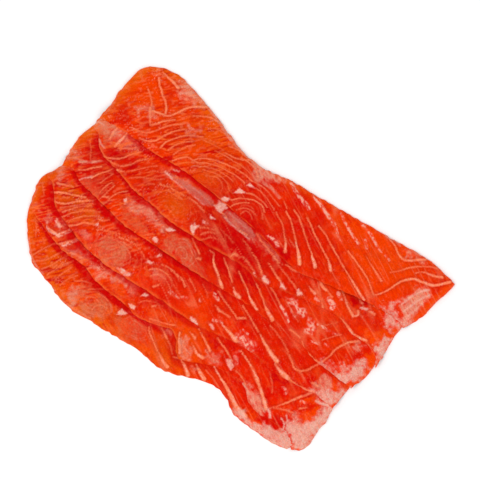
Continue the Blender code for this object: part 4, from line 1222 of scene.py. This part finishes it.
def drape(name, spots, pile):  # heights of the underside and the top: the solid's, with soft edges
    shape = sliceShape
    plan = spots["plan"]
    thicknessMap, undersideMap = solidMaps(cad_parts[name].data)
    restOn = np.maximum(readMap(pile, plan) - shape["pressMm"], shape["floorGapMm"])
    solidUnder = readMap(undersideMap, plan)
    sunk = np.maximum(restOn, solidUnder - shape["drapeMm"])
    under = solidUnder + (sunk - solidUnder) * easeIn(1 - spots["rimMm"] / shape["sideTaperMm"])
    frontTaperMm = shape["frontTaperMm"] if name != lowestSlice else shape["floorFrontTaperMm"]
    sideArc = np.clip(np.minimum(spots["sideMm"], spots["backMm"]) / shape["sideTaperMm"], 0, 1)
    fullness = np.sqrt(1 - (1 - sideArc) ** 2) * np.clip(spots["frontMm"] / frontTaperMm, 0, 1)
    edgeMm = shape["edgeMm"] * (1 - shape["edgeThinning"] * bellyRamp(spots["u"]))
    body = np.maximum(readMap(thicknessMap, plan) + solidUnder - under, edgeMm)
    return under, under + edgeMm + (body - edgeMm) * fullness


def unevenness(spots, paint):  # swells and ripples of wet flesh, and the fat that stands proud
    shape = sliceShape
    swell = (noiseAt(spots["plan"], shape["swellSizeMm"], 31) - 0.5) * 2 * shape["swellMm"]
    ripple = (noiseAt(spots["plan"], shape["rippleSizeMm"], 32) - 0.5) * 2 * shape["rippleMm"]
    fat = shape["fatRiseMm"] * (paint["fat"] + paint["frost"] + paint["white"])
    shown = easeIn(1 + spots["besideMm"] / shape["fadeUnderMm"])
    return ((swell + ripple) * easeIn(spots["rimMm"] / shape["rimMm"]) + fat) * shown


def thinUnderside(mesh, spots):  # the underside shows little
    thinned = ~spots["isTop"] & (spots["rimMm"] > sliceShape["undersideRimMm"])
    edgeEnds = readBack(mesh.edges, "vertices", 2, int)
    faceCorners = readBack(mesh.loops, "vertex_index", 1, int).reshape(-1, 4)
    mesh.vertices.foreach_set("select", thinned)
    mesh.edges.foreach_set("select", thinned[edgeEnds].all(axis=1))
    mesh.polygons.foreach_set("select", thinned[faceCorners].all(axis=1))
    bpy.ops.object.mode_set(mode="EDIT")
    bpy.ops.mesh.decimate(ratio=sliceShape["undersideShare"])
    bpy.ops.mesh.select_all(action="SELECT")
    bpy.ops.mesh.normals_make_consistent(inside=False)
    bpy.ops.object.mode_set(mode="OBJECT")


def growSlice(name, above, pile):  # the dressed slice, and the height of the pile with it
    edges = sliceEdges(sliceSides[name])
    lengthMm, widthMm = sliceSize(edges)
    rows = rowShares(edges, widthMm, above)
    cellsAlong = int(lengthMm / sliceShape["cellMm"])
    piece = cellBlock(name + "_flesh", cellsAlong, len(rows) - 1)
    mesh = piece.data
    spots = sliceSpots(mesh, edges, rows, cellsAlong, above)
    under, top = drape(name, spots, pile)
    pixels = toPicture(np.column_stack([spots["plan"], top]), photoCamera)
    paint = paintMarks(pixels, ringLines(roundMuscles[name]) + marblingLines[name], marblingPatches[name])
    paintEdges(paint, name, spots)

    height = np.where(spots["isTop"], top + unevenness(spots, paint), under)
    mesh.vertices.foreach_set("co", (np.column_stack([spots["plan"], height]) * metresPerMm).ravel())
    for kind in layerColors:
        mesh.attributes.new(kind, "FLOAT", "POINT").data.foreach_set("value", paint[kind].astype(np.float32))
    thinUnderside(mesh, spots)
    bpy.ops.object.shade_smooth()
    mesh.materials.append(bpy.data.materials["wetSmokedFlesh"])
    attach(piece, "root")
    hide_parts(name)
    triangles = sum(len(p.vertices) - 2 for p in mesh.polygons)
    print(name, "cells", cellsAlong, "by", len(rows) - 1, "triangles", triangles)
    return np.maximum(pile, np.nan_to_num(castMap(mesh, 1)))


def addNode(tree, kind, settings=None, inputs=None):
    node = tree.nodes.new(kind)
    for key, value in (settings or {}).items():
        setattr(node, key, value)
    for socket, value in (inputs or {}).items():
        if isinstance(value, bpy.types.NodeSocket):
            tree.links.new(value, node.inputs[socket])
        else:
            node.inputs[socket].default_value = value
    return node


# Cold-smoked salmon, sliced with a wet knife: translucent, oily, with a thin film of fat on it
fleshFinish = {
    "redFlesh": "#DC0C00",
    "orangeFlesh": "#EC2C00",
    "mottleMm": 9.0,            # soft change between redder and more orange flesh
    "fibreMm": 1.6,
    "grainMm": 0.7,             # muscle fibres are finer; drawn as coarse as shows
    "roughness": (0.34, 0.5),   # on the bare flesh and on the film and fat
    "coat": (0.0, 0.45),
    "coatRoughness": 0.12,
    "coatIor": 1.3,             # a wet film
    "specular": 0.045,
    "oilTint": (1.0, 0.3, 0.14, 1.0),  # the oil's own colour in broad reflections
    "scatter": 0.12,
    "scatterMm": 0.8,
    "scatterReach": (1.0, 0.25, 0.1),  # red light goes deepest into the flesh
    "bumpMm": 0.15,
}


def wetSmokedFlesh(finish, colors):
    material = bpy.data.materials.new("wetSmokedFlesh")
    material.use_nodes = True
    tree = material.node_tree
    shader = tree.nodes["Principled BSDF"]
    place = addNode(tree, "ShaderNodeTexCoord").outputs["Object"]

    def noise(sizeMm, detail, roughness=0.5):
        return addNode(tree, "ShaderNodeTexNoise", {}, {
            "Vector": place, "Scale": 1 / (sizeMm * metresPerMm), "Detail": detail, "Roughness": roughness,
        }).outputs["Fac"]

    def blend(factor, a, b, mode="MIX"):
        return addNode(tree, "ShaderNodeMix", {"data_type": "RGBA", "blend_type": mode}, {
            0: factor, 6: a, 7: b,
        }).outputs[2]

    def ranged(value, low, high, start, end):
        return addNode(tree, "ShaderNodeMapRange", {}, {
            "Value": value, "From Min": low, "From Max": high, "To Min": start, "To Max": end,
        }).outputs["Result"]

    def combine(operation, *values, clamp=True):
        settings = {"operation": operation, "use_clamp": clamp}
        return addNode(tree, "ShaderNodeMath", settings, dict(enumerate(values))).outputs[0]

    def mark(kind):
        return addNode(tree, "ShaderNodeAttribute", {"attribute_name": kind}).outputs["Fac"]

    mottle = ranged(noise(finish["mottleMm"], 2), 0.35, 0.65, 0, 1)
    fibre = noise(finish["fibreMm"], 3, 0.6)
    grain = noise(finish["grainMm"], 2)
    color = blend(mottle, linearColor(finish["redFlesh"]), linearColor(finish["orangeFlesh"]))
    marks = {kind: mark(kind) for kind in colors}
    breakup = ranged(fibre, 0.3, 0.7, 0.8, 1.15)
    for kind, hexColor in colors.items():
        color = blend(combine("MULTIPLY", marks[kind], breakup), color, linearColor(hexColor))
    shade = ranged(grain, 0.3, 0.7, 0.88, 1.12)
    grey = addNode(tree, "ShaderNodeCombineColor", {}, {"Red": shade, "Green": shade, "Blue": shade})
    tree.links.new(blend(1.0, color, grey.outputs["Color"], "MULTIPLY"), shader.inputs["Base Color"])

    pale = combine("ADD", marks["film"], marks["frost"])
    tree.links.new(ranged(pale, 0, 1, *finish["roughness"]), shader.inputs["Roughness"])
    tree.links.new(ranged(pale, 0, 1, *finish["coat"]), shader.inputs["Coat Weight"])
    height = combine("MULTIPLY_ADD", grain, 0.45, fibre, clamp=False)
    bump = addNode(tree, "ShaderNodeBump", {}, {
        "Strength": 1.0, "Distance": finish["bumpMm"] * metresPerMm, "Height": height,
    }).outputs["Normal"]
    tree.links.new(bump, shader.inputs["Normal"])
    shader.inputs["Specular IOR Level"].default_value = finish["specular"]
    shader.inputs["Specular Tint"].default_value = finish["oilTint"]
    shader.inputs["Coat Roughness"].default_value = finish["coatRoughness"]
    shader.inputs["Coat IOR"].default_value = finish["coatIor"]
    shader.inputs["Subsurface Weight"].default_value = finish["scatter"]
    shader.inputs["Subsurface Radius"].default_value = finish["scatterReach"]
    shader.inputs["Subsurface Scale"].default_value = finish["scatterMm"] * metresPerMm
    return material


# The lowest slice is laid first, and each is paired with the one above it
wetSmokedFlesh(fleshFinish, layerColors)
pileTop = np.zeros((len(mapX), len(mapY)))
for name, above in reversed(list(zip(sliceNames, [None, *sliceNames]))):
    pileTop = growSlice(name, above, pileTop)
print("slices laid")

# Pale floor, soft light from the picture's left, a weaker one from below it, and a light room.
# A light's turn is counted from the picture's right towards its top.
studio = {
    "floorSizeM": 4.0,
    "floorColor": "#FFFFFF",
    "floorRoughness": 0.9,
    "floorSpecular": 0.1,
    "roomStrength": 0.7,
    "keyLight": {"watts": 10.0, "sizeM": 0.8, "distanceM": 1.9, "elevationDeg": 58.0, "turnDeg": 195.0},
    "fillLight": {"watts": 6.9, "sizeM": 1.0, "distanceM": 1.9, "elevationDeg": 50.0, "turnDeg": 310.0},
}


def matteFloor(look):
    material = bpy.data.materials.new("matteFloor")
    material.use_nodes = True
    shader = material.node_tree.nodes["Principled BSDF"]
    shader.inputs["Base Color"].default_value = linearColor(look["floorColor"])
    shader.inputs["Roughness"].default_value = look["floorRoughness"]
    shader.inputs["Specular IOR Level"].default_value = look["floorSpecular"]
    return material


def softLight(name, watts, sizeM, distanceM, elevationDeg, turnDeg):
    target, _, right, _, _ = cameraAxes(photoCamera)
    away = np.array([-right[1], right[0], 0.0])
    turn, elevation = math.radians(turnDeg), math.radians(elevationDeg)
    level = right * math.cos(turn) + away * math.sin(turn)
    toLight = Vector(level * math.cos(elevation) + np.array([0.0, 0.0, math.sin(elevation)]))
    bpy.ops.object.light_add(type="AREA", location=Vector(target) * metresPerMm + toLight * distanceM)
    lamp = bpy.context.object
    lamp.name = name
    lamp.rotation_euler = toLight.to_track_quat("Z", "Y").to_euler()
    lamp.data.energy = watts
    lamp.data.size = sizeM


bpy.ops.object.select_all(action="DESELECT")
bpy.ops.mesh.primitive_plane_add(size=studio["floorSizeM"])
floor = bpy.context.object
floor.name = "floor"
floor.data.materials.append(matteFloor(studio))
for lightName in ("keyLight", "fillLight"):
    softLight(lightName, **studio[lightName])
world = bpy.data.worlds.new("lightRoom")
world.use_nodes = True
world.node_tree.nodes["Background"].inputs["Color"].default_value = (1, 1, 1, 1)
world.node_tree.nodes["Background"].inputs["Strength"].default_value = studio["roomStrength"]
bpy.context.scene.world = world
bpy.context.scene.view_settings.view_transform = "Standard"

targetMm, backAxis, _, _, distanceMm = cameraAxes(photoCamera)
bpy.ops.object.camera_add(location=Vector(targetMm + backAxis * distanceMm) * metresPerMm)
camera = bpy.context.object
camera.rotation_euler = Vector(backAxis).to_track_quat("Z", "Y").to_euler()
camera.data.lens = photoCamera["lensMm"]
camera.data.sensor_width = photoCamera["sensorMm"]
camera.data.clip_start = 0.01
bpy.context.scene.camera = camera
print("studio ready")
